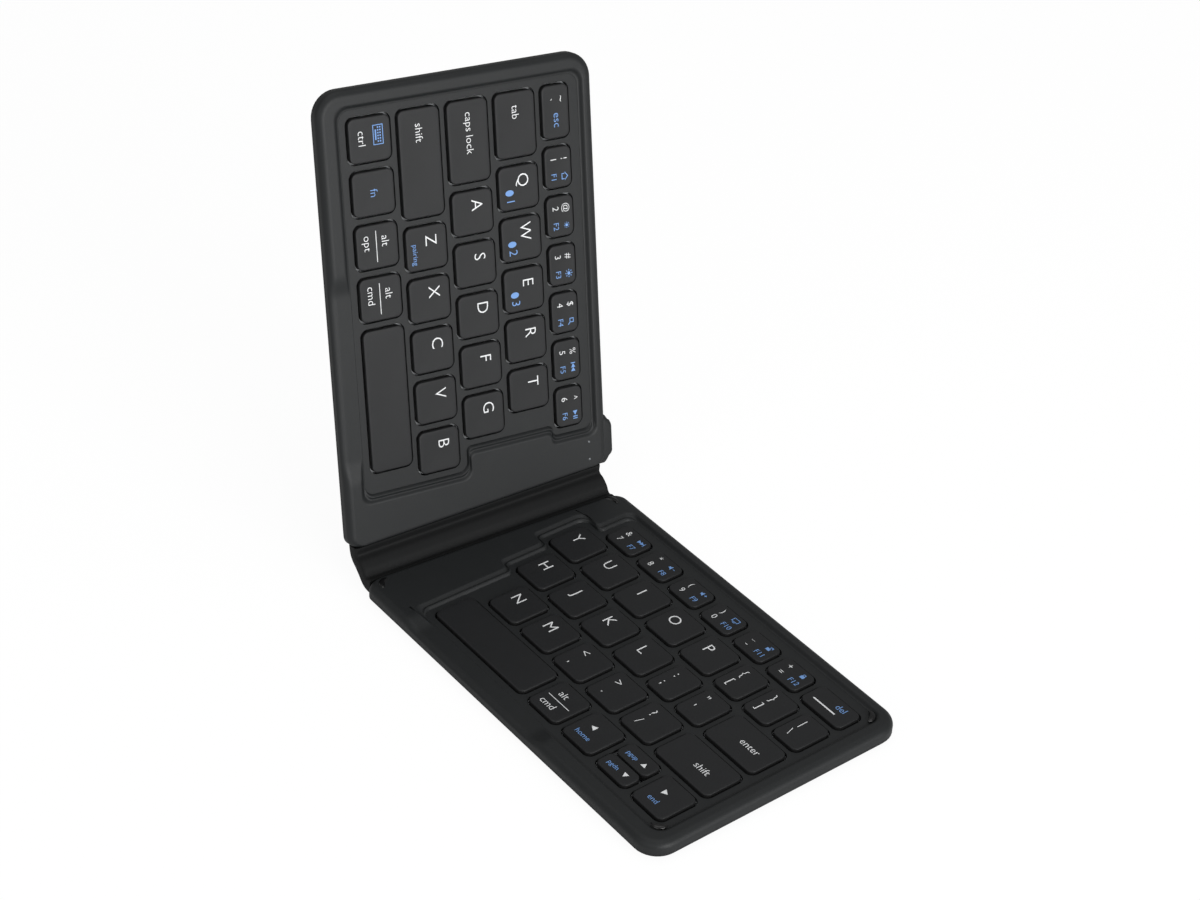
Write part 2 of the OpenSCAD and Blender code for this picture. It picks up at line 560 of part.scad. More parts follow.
module controller_board() color(pcb_green) left() difference() {
    union() {
        prism(floor_t, board_top, [
            [crease_u(board_v0, hinge_gap + wall_t) + 0.3, board_v0], [board_u1, board_v0],
            [board_u1, board_v1], [crease_u(board_v1, hinge_gap + wall_t) + 0.3, board_v1]]);
        block(plug_u, ribbon_v - ribbon_w / 2, board_top - eps, plug_u + plug_l, ribbon_v + ribbon_w / 2,
              hinge_z - ribbon_t / 2);
        block(plug_u, chip_v, board_top - eps, plug_u + chip[0], chip_v + chip[1], board_top + chip[2]);
    }
    for (s = SCREWS) translate([s[0], s[1], 0]) cylinder(r = screw_r + 1.2 + 2 * fit, h = half_h, $fn = 32);
}
battery_v0 = screw_in + 1 + screw_r + 1.2 + 0.6;
battery_u0 = crease_u(battery_v0 + battery_l, hinge_gap + wall_t) + 0.3;
module battery() color("#8d9196") left() prism(floor_t, floor_t + battery_t, round_box(
    battery_u0, battery_v0, battery_u0 + battery_w, battery_v0 + battery_l, 0.8, 4));
module charge_port() color("#c3c6c9") left() difference() {
    translate([0, port_v1, board_top + port_h / 2]) rotate([90, 0, 0]) linear_extrude(port_d)
        polygon(round_box(boss_u - port_w / 2, -port_h / 2, boss_u + port_w / 2, port_h / 2, 0.9, 4));
    translate([0, port_v1 + eps, board_top + port_h / 2]) rotate([90, 0, 0]) linear_extrude(port_d - 0.6)
        difference() {
            polygon(round_box(boss_u - port_w / 2 + 0.35, -port_h / 2 + 0.35, boss_u + port_w / 2 - 0.35,
                              port_h / 2 - 0.35, 0.6, 4));
            polygon(box_pts(boss_u - port_w / 2 + 1.6, -0.35, boss_u + port_w / 2 - 1.6, 0.35));
        }
}
module light_pipes() color("#e8ebee") left() for (u = LED_U)
    translate([u, led_v, board_top]) cylinder(r = led_r, h = half_h - 0.1 - board_top, $fn = 24);
module switch_base() color("#2a2b2c") left() block(
    switch_u - switch_size[0] / 2, half_d - wall_t - fit - switch_size[1], floor_t,
    switch_u + switch_size[0] / 2, half_d - wall_t - fit, floor_t + switch_size[2]);
module power_slider() color("#8a8d90") left() {
    block(switch_u - slider_w / 2 - slider_travel / 2, half_d - wall_t - fit + 0.05, slider_z,
          switch_u + slider_w / 2 - slider_travel / 2, half_d + 0.3, slider_z + slider_h);
}

// Keys of the left half
module escape_key() color(key_grey) left() key(LEFT, 4, 0);
module left_number_keys() color(key_grey) left() keys(LEFT, 4, 1, 6);
module tab_key() color(key_grey) left() key(LEFT, 3, 0);
module qwert_keys() color(key_grey) left() keys(LEFT, 3, 1, 5);
module caps_lock_key() color(key_grey) left() key(LEFT, 2, 0);
module asdfg_keys() color(key_grey) left() keys(LEFT, 2, 1, 5);
module left_shift_key() color(key_grey) left() key(LEFT, 1, 0);
module zxcvb_keys() color(key_grey) left() keys(LEFT, 1, 1, 5);
module ctrl_key() color(key_grey) left() key(LEFT, 0, 0);
module fn_key() color(key_grey) left() key(LEFT, 0, 1);
module left_option_key() color(key_grey) left() key(LEFT, 0, 2);
module left_command_key() color(key_grey) left() key(LEFT, 0, 3);
module left_space_key() color(key_grey) left() key(LEFT, 0, 4);

// Keys of the right half
module right_number_keys() color(key_grey) right() keys(RIGHT, 4, 1, 6);
module delete_key() color(key_grey) right() key(RIGHT, 4, 0);
module yuiop_keys() color(key_grey) right() keys(RIGHT, 3, 3, 7);
module left_bracket_key() color(key_grey) right() key(RIGHT, 3, 2);
module right_bracket_key() color(key_grey) right() key(RIGHT, 3, 1);
module backslash_key() color(key_grey) right() key(RIGHT, 3, 0);
module hjkl_keys() color(key_grey) right() keys(RIGHT, 2, 3, 6);
module semicolon_key() color(key_grey) right() key(RIGHT, 2, 2);
module quote_key() color(key_grey) right() key(RIGHT, 2, 1);
module enter_key() color(key_grey) right() key(RIGHT, 2, 0);
module nm_keys() color(key_grey) right() keys(RIGHT, 1, 4, 5);
module punctuation_keys() color(key_grey) right() keys(RIGHT, 1, 1, 3);
module right_shift_key() color(key_grey) right() key(RIGHT, 1, 0);
module right_space_key() color(key_grey) right() key(RIGHT, 0, 4);
module right_command_key() color(key_grey) right() key(RIGHT, 0, 3);
module home_arrow_key() color(key_grey) right() key(RIGHT, 0, 2);
module page_up_key() color(key_grey) right() short_key(short_d + arrow_gap);
module page_down_key() color(key_grey) right() short_key(0);
module end_arrow_key() color(key_grey) right() key(RIGHT, 0, 0);

right_case();
right_cover();
right_deck();
right_plate();
right_membrane();
right_domes();
right_feet();
right_screws();
right_magnet();
corner_pads();
spine_bar();
hinge_skin();
ribbon_cable();
left_case();
left_cover();
left_deck();
left_plate();
left_membrane();
left_domes();
left_feet();
left_screws();
left_magnet();
controller_board();
battery();
charge_port();
light_pipes();
switch_base();
power_slider();
escape_key();
left_number_keys();
tab_key();
qwert_keys();
caps_lock_key();
asdfg_keys();
left_shift_key();
zxcvb_keys();
ctrl_key();
fn_key();
left_option_key();
left_command_key();
left_space_key();
right_number_keys();
delete_key();
yuiop_keys();
left_bracket_key();
right_bracket_key();
backslash_key();
hjkl_keys();
semicolon_key();
quote_key();
enter_key();
nm_keys();
punctuation_keys();
right_shift_key();
right_space_key();
right_command_key();
home_arrow_key();
page_up_key();
page_down_key();
end_arrow_key();
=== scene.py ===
"""Dresses the folding keyboard for rendering.

It makes the soft-touch shells with their stepped key wells, the key caps, the legends and the spine.

Each half is described lying flat in its own frame, in millimetres: u runs from the crease to the outer side,
v from front to back and z up from the underside. One function carries a half's points to the row frame.
"""

import logging
import math
from dataclasses import dataclass, field
from enum import Enum
from typing import Dict, List, Optional, Sequence, Tuple, Union

import bpy
import numpy as np
from mathutils import Matrix, Vector


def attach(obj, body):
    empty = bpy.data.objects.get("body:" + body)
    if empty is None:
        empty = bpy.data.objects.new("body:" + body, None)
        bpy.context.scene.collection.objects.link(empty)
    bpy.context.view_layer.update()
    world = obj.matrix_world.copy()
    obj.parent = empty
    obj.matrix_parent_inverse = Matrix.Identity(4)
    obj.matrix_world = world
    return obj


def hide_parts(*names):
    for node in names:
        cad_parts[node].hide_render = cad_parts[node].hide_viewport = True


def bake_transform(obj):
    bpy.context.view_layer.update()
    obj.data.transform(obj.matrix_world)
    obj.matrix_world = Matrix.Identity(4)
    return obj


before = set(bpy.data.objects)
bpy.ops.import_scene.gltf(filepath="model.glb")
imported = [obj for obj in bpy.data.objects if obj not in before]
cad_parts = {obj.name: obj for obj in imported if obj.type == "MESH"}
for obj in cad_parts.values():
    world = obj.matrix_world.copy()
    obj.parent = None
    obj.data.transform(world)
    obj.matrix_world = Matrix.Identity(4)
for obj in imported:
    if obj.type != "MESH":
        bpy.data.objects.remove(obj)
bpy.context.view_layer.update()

LOG = logging.getLogger("keyboard")
MM = 0.001

Array = np.ndarray
Faces = List[Sequence[int]]
Place = Tuple[float, float, float]


class Side(Enum):
    """One of the keyboard's two halves."""

    RIGHT = "right"
    LEFT = "left"


@dataclass(frozen=True)
class Sizes:
    """The keyboard's real sizes in millimetres, the same as in the CAD."""

    half_w: float = 145.3
    half_h: float = 5.8
    split_z: float = 2.4
    splay: float = 4.64
    corner_r: float = 8.0
    hinge_corner_r: float = 3.5
    rim_front: float = 7.0
    rim_back: float = 4.9
    rim_side: float = 6.2
    well_drop: float = 1.1
    deck_t: float = 1.0
    deck_border: float = 2.2
    deck_border_back: float = 3.2
    step_border: float = 1.9
    well_r: float = 4.0
    scoop_u0: float = 24.0
    scoop_slope: float = 8.0
    cap_w: float = 13.45
    cap_d: float = 13.8
    num_cap_w: float = 12.78
    num_cap_d: float = 9.4
    key_gap: float = 0.55
    web: float = 1.65
    row_web: float = 1.52
    cap_proud: float = 0.8
    cap_h: float = 2.2
    cap_wall: float = 0.9
    cap_r: float = 2.0
    arrow_gap: float = 0.6
    spine_w: float = 9.0
    hinge_z: float = 2.3
    hinge_gap: float = 3.6
    fold: float = 37.1
    strap_inset: float = 2.2
    boss_u0: float = 13.1
    boss_w: float = 11.8
    boss_out: float = 2.3

    @property
    def deck_z(self) -> float:
        """Height of the key deck's top."""
        return self.half_h - self.well_drop

    @property
    def cap_top(self) -> float:
        """Height of the key tops."""
        return self.deck_z + self.cap_proud

    @property
    def front_margin(self) -> float:
        """Distance from the front edge to the first key slot."""
        return self.rim_front + self.deck_border

    @property
    def row_v(self) -> List[float]:
        """Front of each key row's slots, from the front row to the number row."""
        pitch = self.cap_d + 2 * self.key_gap + self.row_web
        return [self.front_margin + pitch * row for row in range(5)]

    @property
    def row_cap(self) -> List[float]:
        """Depth of the caps in each row."""
        return [self.cap_d] * 4 + [self.num_cap_d]

    @property
    def well_back(self) -> float:
        """Back edge of the key well."""
        return self.row_v[4] + self.num_cap_d + 2 * self.key_gap + self.deck_border_back

    @property
    def half_d(self) -> float:
        """Depth of a half."""
        return self.well_back + self.rim_back

    @property
    def key_end(self) -> float:
        """Outer end of every key row."""
        return self.half_w - self.rim_side - self.deck_border

    @property
    def crease(self) -> Tuple[float, float]:
        """Place of the right half's crease corner in the row frame."""
        beta = math.radians(self.splay)
        mid_u = (self.half_w + self.hinge_gap) / 2
        mid_v = self.half_d / 2
        return (
            -(mid_u * math.cos(beta) - mid_v * math.sin(beta)),
            -(mid_u * math.sin(beta) + mid_v * math.cos(beta)),
        )

    def crease_u(self, v: Array, off: float) -> Array:
        """Place in u of the line that runs beside the crease, off millimetres from it, at depth v."""
        beta = math.radians(self.splay)
        return off / math.cos(beta) + v * math.tan(beta)


SIZES = Sizes()
CAP, NUMBER = SIZES.cap_w, SIZES.num_cap_w
NARROW = 10.6
# Widths of the caps in each row, from the front row to the number row, each row from its outer end
ROWS: Dict[Side, List[List[float]]] = {
    Side.LEFT: [
        [CAP] * 4 + [45.0],
        [33.1] + [CAP] * 5,
        [25.1] + [CAP] * 5,
        [20.05] + [CAP] * 5,
        [16.5] + [NUMBER] * 6,
    ],
    Side.RIGHT: [
        [CAP] * 4 + [44.4],
        [23.7] + [CAP] * 5,
        [21.6, NARROW, NARROW] + [CAP] * 4,
        [NARROW] * 3 + [CAP] * 5,
        [17.1] + [NUMBER] * 6,
    ],
}
# For each row, the two rows that share its edge of the key well on the spine side
SHARED_EDGES: Dict[Side, List[Tuple[int, int]]] = {
    Side.LEFT: [(0, 1), (0, 1), (2, 3), (2, 3), (4, 4)],
    Side.RIGHT: [(0, 1), (0, 1), (2, 2), (3, 3), (4, 4)],
}
# Width of the thumb scoop in each front rim
SCOOP_W: Dict[Side, float] = {Side.LEFT: 67.0, Side.RIGHT: 70.0}


def turn_y(points: Array, degrees: Union[float, Array], centre: Tuple[float, float]) -> Array:
    """Turns points about a line along Y, x' = x cos + z sin and z' = z cos - x sin.

    Args:
        points: N by 3 points in millimetres.
        degrees: one angle, or one for each point.
        centre: x and z of the line.

    Returns:
        The turned points.
    """
    angle = np.radians(degrees)
    x = points[:, 0] - centre[0]
    z = points[:, 2] - centre[1]
    turned = points.copy()
    turned[:, 0] = centre[0] + x * np.cos(angle) + z * np.sin(angle)
    turned[:, 2] = centre[1] + z * np.cos(angle) - x * np.sin(angle)
    return turned


def to_row_frame(points: Array, side: Side) -> Array:
    """Carries points from a half's flat frame to the row frame.

    The right half is only splayed. The left half is mirrored, splayed, and folded about both creases.

    Args:
        points: N by 3 points, u, v and z in millimetres.
        side: the half.

    Returns:
        N by 3 points in metres.
    """
    beta = math.radians(SIZES.splay)
    crease_x, crease_y = SIZES.crease
    u, v = points[:, 0], points[:, 1]
    x = u * math.cos(beta) - v * math.sin(beta)
    y = u * math.sin(beta) + v * math.cos(beta)
    if side is Side.RIGHT:
        return np.column_stack([x + crease_x, y + crease_y, points[:, 2]]) * MM
    far_x = crease_x - SIZES.spine_w
    flat = np.column_stack([far_x - x, y + crease_y, points[:, 2]])
    once = turn_y(flat, SIZES.fold, (far_x, SIZES.hinge_z))
    return turn_y(once, SIZES.fold, (crease_x, SIZES.hinge_z)) * MM


def arc_points(centre: Array, radius: float, start: float, sweep: float, steps: int) -> Array:
    """Points on an arc, centre plus radius times cosine and sine.

    Args:
        centre: the arc's centre.
        radius: its radius.
        start: first angle in degrees.
        sweep: angle covered, positive anticlockwise.
        steps: number of steps.

    Returns:
        steps + 1 points.
    """
    angle = np.radians(start + sweep * np.linspace(0, 1, steps + 1))
    return centre + radius * np.column_stack([np.cos(angle), np.sin(angle)])


def round_corner(point: Array, before: Array, after: Array, radius: float, steps: int) -> Array:
    """Arc that replaces one corner of an outline, tangent to both of its edges.

    Args:
        point: the corner.
        before: the outline's point before it.
        after: the outline's point after it.
        radius: the arc's radius.
        steps: number of steps.

    Returns:
        steps + 1 points from the edge before to the edge after, swept the short way round.
    """
    to_before = (before - point) / np.linalg.norm(before - point)
    to_after = (after - point) / np.linalg.norm(after - point)
    half = math.acos(float(np.clip(to_before @ to_after, -1, 1))) / 2
    middle = to_before + to_after
    centre = point + middle / np.linalg.norm(middle) * radius / math.sin(half)
    first = point + to_before * radius / math.tan(half) - centre
    last = point + to_after * radius / math.tan(half) - centre
    start = math.degrees(math.atan2(first[1], first[0]))
    end = math.degrees(math.atan2(last[1], last[0]))
    return arc_points(centre, radius, start, (end - start + 540) % 360 - 180, steps)


def between(first: Array, second: Array, steps: int) -> Array:
    """Evenly spaced points from the end of one arc to the start of the next, without those two."""
    return np.linspace(first[-1], second[0], steps + 1)[1:-1]


def running_length(path: Array) -> Array:
    """Length along a path from its first point to each of its points."""
    return np.concatenate([[0.0], np.cumsum(np.linalg.norm(np.diff(path, axis=0), axis=1))])


def smooth_step(share: Array) -> Array:
    """Eases a share from 0 to 1, by 3 x^2 - 2 x^3."""
    return share * share * (3 - 2 * share)


def lying(loop: Array, z: float) -> Array:
    """A loop in u and v as points at the height z."""
    return np.column_stack([loop, np.full(len(loop), z)])


def standing(loop: Array, v: float) -> Array:
    """A loop in u and z as points at the depth v."""
    return np.column_stack([loop[:, 0], np.full(len(loop), v), loop[:, 1]])


def round_box(u0: float, v0: float, u1: float, v1: float, radius: float, steps: int) -> Array:
    """Anticlockwise rectangle with round corners.

    Args:
        u0: lowest u.
        v0: lowest v.
        u1: highest u.
        v1: highest v.
        radius: corner radius.
        steps: steps in each corner.

    Returns:
        4 * (steps + 1) points.
    """
    corners = [
        ((u1 - radius, v0 + radius), -90),
        ((u1 - radius, v1 - radius), 0),
        ((u0 + radius, v1 - radius), 90),
        ((u0 + radius, v0 + radius), 180),
    ]
    return np.vstack([arc_points(np.array(c), radius, a, 90, steps) for c, a in corners])


@dataclass
class Shape:
    """Vertices and faces that are gathered before they become one mesh."""

    points: List[Array] = field(default_factory=list)
    faces: Faces = field(default_factory=list)
    tones: List[int] = field(default_factory=list)
    count: int = 0

    def add(self, points: Array, faces: Faces, tones: Optional[List[int]] = None) -> None:
        """Adds points, the faces between them, and the number of each face's material."""
        self.faces.extend([[i + self.count for i in face] for face in faces])
        self.tones.extend(tones or [0] * len(faces))
        self.points.append(points)
        self.count += len(points)

    def loft(self, rings: Array, joined: bool = False, dark_bands: int = 0) -> None:
        """Adds the surface through a stack of closed rings, by quads between each ring and the next.

        Args:
            rings: R by N by 3 points, anticlockwise seen from the last ring's side.
            joined: joins the last ring to the first, instead of closing both with a face.
            dark_bands: number of bands, from the first, that take the second material.
        """
        rows, cols = rings.shape[:2]
        index = np.arange(rows * cols).reshape(rows, cols)
        low = index if joined else index[:-1]
        high = np.roll(index, -1, axis=0) if joined else index[1:]
        quads = np.stack([low, np.roll(low, -1, 1), np.roll(high, -1, 1), high], axis=-1).reshape(-1, 4)
        faces: Faces = quads.tolist()
        tones = [1] * (dark_bands * cols) + [0] * (len(faces) - dark_bands * cols)
        if not joined:
            faces += [index[0][::-1].tolist(), index[-1].tolist()]
            tones += [1 if dark_bands else 0, 0]
        self.add(rings.reshape(-1, 3), faces, tones)

    def on_half(self, side: Side) -> "Shape":
        """The same shape carried to the row frame, turned right side out where the half is mirrored."""
        points = to_row_frame(np.vstack(self.points), side)
        faces = [list(reversed(f)) for f in self.faces] if side is Side.LEFT else self.faces
        return Shape([points], faces, self.tones, len(points))

    def to_object(
        self, name: str, finishes: Sequence["Finish"], smooth_angle: float = 35
    ) -> bpy.types.Object:
        """Makes the mesh object, with its edges kept sharp above an angle.

        Args:
            name: the object's name.
            finishes: its finishes, in the order of the tones.
            smooth_angle: edges that turn by more degrees than this stay sharp.

        Returns:
            The new object, at the origin.
        """
        mesh = bpy.data.meshes.new(name)
        mesh.from_pydata(np.vstack(self.points).tolist(), [], self.faces)
        mesh.polygons.foreach_set("use_smooth", np.ones(len(mesh.polygons), bool))
        mesh.polygons.foreach_set("material_index", self.tones)
        mesh.set_sharp_from_angle(angle=math.radians(smooth_angle))
        for finish in finishes:
            mesh.materials.append(finish.material())
        made = bpy.data.objects.new(name, mesh)
        bpy.context.scene.collection.objects.link(made)
        return made


def linear(hex_colour: str) -> Tuple[float, float, float, float]:
    """Turns an sRGB hex colour to the linear values that shaders take."""
    values = [int(hex_colour[i : i + 2], 16) / 255 for i in (1, 3, 5)]
    curve = [v / 12.92 if v <= 0.04045 else ((v + 0.055) / 1.055) ** 2.4 for v in values]
    return (curve[0], curve[1], curve[2], 1.0)


def per_mm(size: float) -> float:
    """Texture scale at which one feature of a pattern measures size millimetres."""
    return 1 / (size * MM)


def add_node(tree: bpy.types.NodeTree, kind: str, settings: Dict, links: Dict) -> bpy.types.Node:
    """Adds a node with its settings and its links.

    Args:
        tree: the material's node tree.
        kind: the node's type name.
        settings: attributes of the node, or values of its inputs.
        links: for each input, the node and the output that feed it.

    Returns:
        The new node.
    """
    node = tree.nodes.new(kind)
    for name, value in settings.items():
        if isinstance(name, int) or name in node.inputs:
            node.inputs[name].default_value = value
        else:
            setattr(node, name, value)
    for name, (source, output) in links.items():
        tree.links.new(source.outputs[output], node.inputs[name])
    return node


def add_noise(
    tree: bpy.types.NodeTree, source: Tuple, size: float, detail: float, rough: float = 0.5
) -> bpy.types.Node:
    """Adds a noise texture.

    Args:
        tree: the material's node tree.
        source: the node and the output that place it.
        size: size of its largest features in millimetres.
        detail: number of finer layers.
        rough: share of each finer layer.

    Returns:
        The new node.
    """
    settings = {"Scale": per_mm(size), "Detail": detail, "Roughness": rough}
    return add_node(tree, "ShaderNodeTexNoise", settings, {"Vector": source})


def vary_roughness(
    tree: bpy.types.NodeTree, shader: bpy.types.Node, grain: bpy.types.Node, middle: float, spread: float
) -> None:
    """Lets a shader's roughness follow the grain.

    Args:
        tree: the material's node tree.
        shader: its surface shader.
        grain: the texture to follow.
        middle: the roughness in the middle.
        spread: the most that it departs from it.
    """
    settings = {"To Min": middle - spread, "To Max": middle + spread}
    rough = add_node(tree, "ShaderNodeMapRange", settings, {"Value": (grain, "Fac")})
    tree.links.new(rough.outputs["Result"], shader.inputs["Roughness"])


@dataclass(frozen=True)
class Surface:
    """A finish's name and main colour, and the way to its material."""

    name: str
    colour: str

    def fill(self, tree: bpy.types.NodeTree, shader: bpy.types.Node, place: bpy.types.Node) -> None:
        """Adds the finish's own nodes; each kind of finish has its own way."""
        raise NotImplementedError

    def material(self) -> bpy.types.Material:
        """Builds the material, or returns it if it is already there."""
        if self.name in bpy.data.materials:
            return bpy.data.materials[self.name]
        made = bpy.data.materials.new(self.name)
        made.use_nodes = True
        tree = made.node_tree
        self.fill(tree, tree.nodes["Principled BSDF"], add_node(tree, "ShaderNodeTexCoord", {}, {}))
        return made


@dataclass(frozen=True)
class MouldedFinish(Surface):
    """A moulded or painted plastic: mottled colour, fine grain and a satin sheen."""

    speck: str
    roughness: float
    grain_mm: float
    grain_depth: float
    coat: float = 0.0
    ior: float = 1.5
    spread: float = 0.06
    mottle_mm: float = 6.0

    def fill(self, tree: bpy.types.NodeTree, shader: bpy.types.Node, place: bpy.types.Node) -> None:
        """Adds the mottle, the grain and their links.

        Args:
            tree: the material's node tree.
            shader: its surface shader.
            place: its texture coordinates.
        """
        mottle = add_noise(tree, (place, "Object"), self.mottle_mm, 4.0, 0.6)
        grain = add_noise(tree, (place, "Object"), self.grain_mm, 3.0, 0.55)
        colours = {"Color1": linear(self.colour), "Color2": linear(self.speck)}
        blend = add_node(tree, "ShaderNodeMixRGB", colours, {"Fac": (mottle, "Fac")})
        depth = {"Strength": 1.0, "Distance": self.grain_depth * MM}
        bump = add_node(tree, "ShaderNodeBump", depth, {"Height": (grain, "Fac")})
        tree.links.new(blend.outputs["Color"], shader.inputs["Base Color"])
        tree.links.new(bump.outputs["Normal"], shader.inputs["Normal"])
        vary_roughness(tree, shader, grain, self.roughness, self.spread)
        shader.inputs["IOR"].default_value = self.ior
        shader.inputs["Coat Weight"].default_value = self.coat
        shader.inputs["Coat Roughness"].default_value = 0.3


@dataclass(frozen=True)
class MetalFinish(Surface):
    """A rolled or stamped metal with fine scratches along one way."""

    roughness: float
    spread: float = 0.08
    grain_mm: float = 0.4
    stretch: Place = (1.0, 0.05, 1.0)

    def fill(self, tree: bpy.types.NodeTree, shader: bpy.types.Node, place: bpy.types.Node) -> None:
        """Adds the stretched grain and its links.

        Args:
            tree: the material's node tree.
            shader: its surface shader.
            place: its texture coordinates.
        """
        shader.inputs["Base Color"].default_value = linear(self.colour)
        shader.inputs["Metallic"].default_value = 1.0
        drawn = add_node(tree, "ShaderNodeMapping", {"Scale": self.stretch}, {"Vector": (place, "Object")})
        grain = add_noise(tree, (drawn, "Vector"), self.grain_mm, 2.0)
        vary_roughness(tree, shader, grain, self.roughness, self.spread)


class Finish(Enum):
    """The finishes of the keyboard, each named for the real material and how its surface was made."""

    # Soft-touch paint over ABS: matt charcoal with a faint velvet mottle
    SOFT_TOUCH = MouldedFinish("soft_touch_painted_abs", "#1b1d1e", "#202223", 0.5, 0.5, 0.02, 0.0, 1.4)
    # Moulded ABS with spark-eroded texture: a little darker and drier than the paint
    ERODED_ABS = MouldedFinish("spark_textured_abs", "#18191a", "#1d1e1f", 0.55, 0.45, 0.025, 0.0, 1.4)
    # Moulded PBT key caps: satin, with fine grain
    KEY_PBT = MouldedFinish("moulded_pbt_key", "#191a1b", "#1d1e20", 0.5, 0.45, 0.02, 0.0, 1.4)
    # Painted shade: the key skirts and slot walls in near black, standing for the shadow down in the gaps
    # round the keys
    BARE_BLACK = MouldedFinish("bare_black_abs", "#060607", "#0a0a0b", 0.7, 0.45, 0.01)
    # TPE sleeve, pressed: soft and slightly waxy
    SLEEVE_TPE = MouldedFinish("pressed_tpe_sleeve", "#101112", "#141515", 0.7, 0.6, 0.03, 0.0, 1.33)
    # Pad-printed white ink: flat and chalky
    WHITE_INK = MouldedFinish("white_pad_ink", "#e9ebec", "#f4f5f6", 0.6, 0.3, 0.004)
    # Pad-printed blue ink
    BLUE_INK = MouldedFinish("blue_pad_ink", "#6f9cda", "#7da8e2", 0.6, 0.3, 0.004)
    # Polished black rubber crescents: near black with a gloss
    BLACK_PAD = MouldedFinish("polished_black_rubber", "#060607", "#0a0a0b", 0.25, 0.3, 0.004)
    # Cast silicone feet: dull dark grey
    FOOT_RUBBER = MouldedFinish("cast_rubber_foot", "#1b1b1c", "#232324", 0.75, 0.4, 0.03)
    # Moulded milky acrylic light pipe, unlit: a pale dot
    LENS_ACRYLIC = MouldedFinish("moulded_acrylic_pipe", "#63686b", "#6e7376", 0.2, 0.5, 0.002, 0.6, 1.49)
    # Polyimide film of the ribbon: glossy amber
    AMBER_FILM = MouldedFinish("polyimide_film", "#9a5a14", "#b06c1c", 0.3, 0.6, 0.004, 0.3)
    # Printed polyester sheet of the switch membrane: milky
    PRINTED_SHEET = MouldedFinish("printed_polyester_sheet", "#cfcab8", "#dcd8c8", 0.4, 0.5, 0.004)
    # Cast silicone domes: milky grey
    DOME_SILICONE = MouldedFinish("cast_silicone_dome", "#b9bcbe", "#c8cbcd", 0.5, 0.5, 0.01)
    # Green solder mask over glass cloth
    SOLDER_MASK = MouldedFinish("green_solder_mask", "#14502f", "#1b5f39", 0.35, 0.5, 0.006, 0.3)
    # Aluminium pouch foil of the battery
    POUCH_FOIL = MetalFinish("aluminium_pouch_foil", "#b9bcc0", 0.38)
    # Rolled zinc-plated steel of the plates and screws
    ROLLED_STEEL = MetalFinish("rolled_zinc_steel", "#a4a8ac", 0.35)
    # Nickel-plated stamped steel of the socket
    STAMPED_NICKEL = MetalFinish("stamped_nickel_steel", "#c0c2c4", 0.28)

    def material(self) -> bpy.types.Material:
        """The finish's material."""
        return self.value.material()


def well_edges(side: Side) -> List[float]:
    """Edge of the key well on the spine side at each row; rows that share an edge take the longer."""
    full = [sum(r) + 2 * SIZES.key_gap * len(r) + SIZES.web * (len(r) - 1) for r in ROWS[side]]
    inner = SIZES.key_end - SIZES.step_border
    return [inner - max(full[a], full[b]) for a, b in SHARED_EDGES[side]]


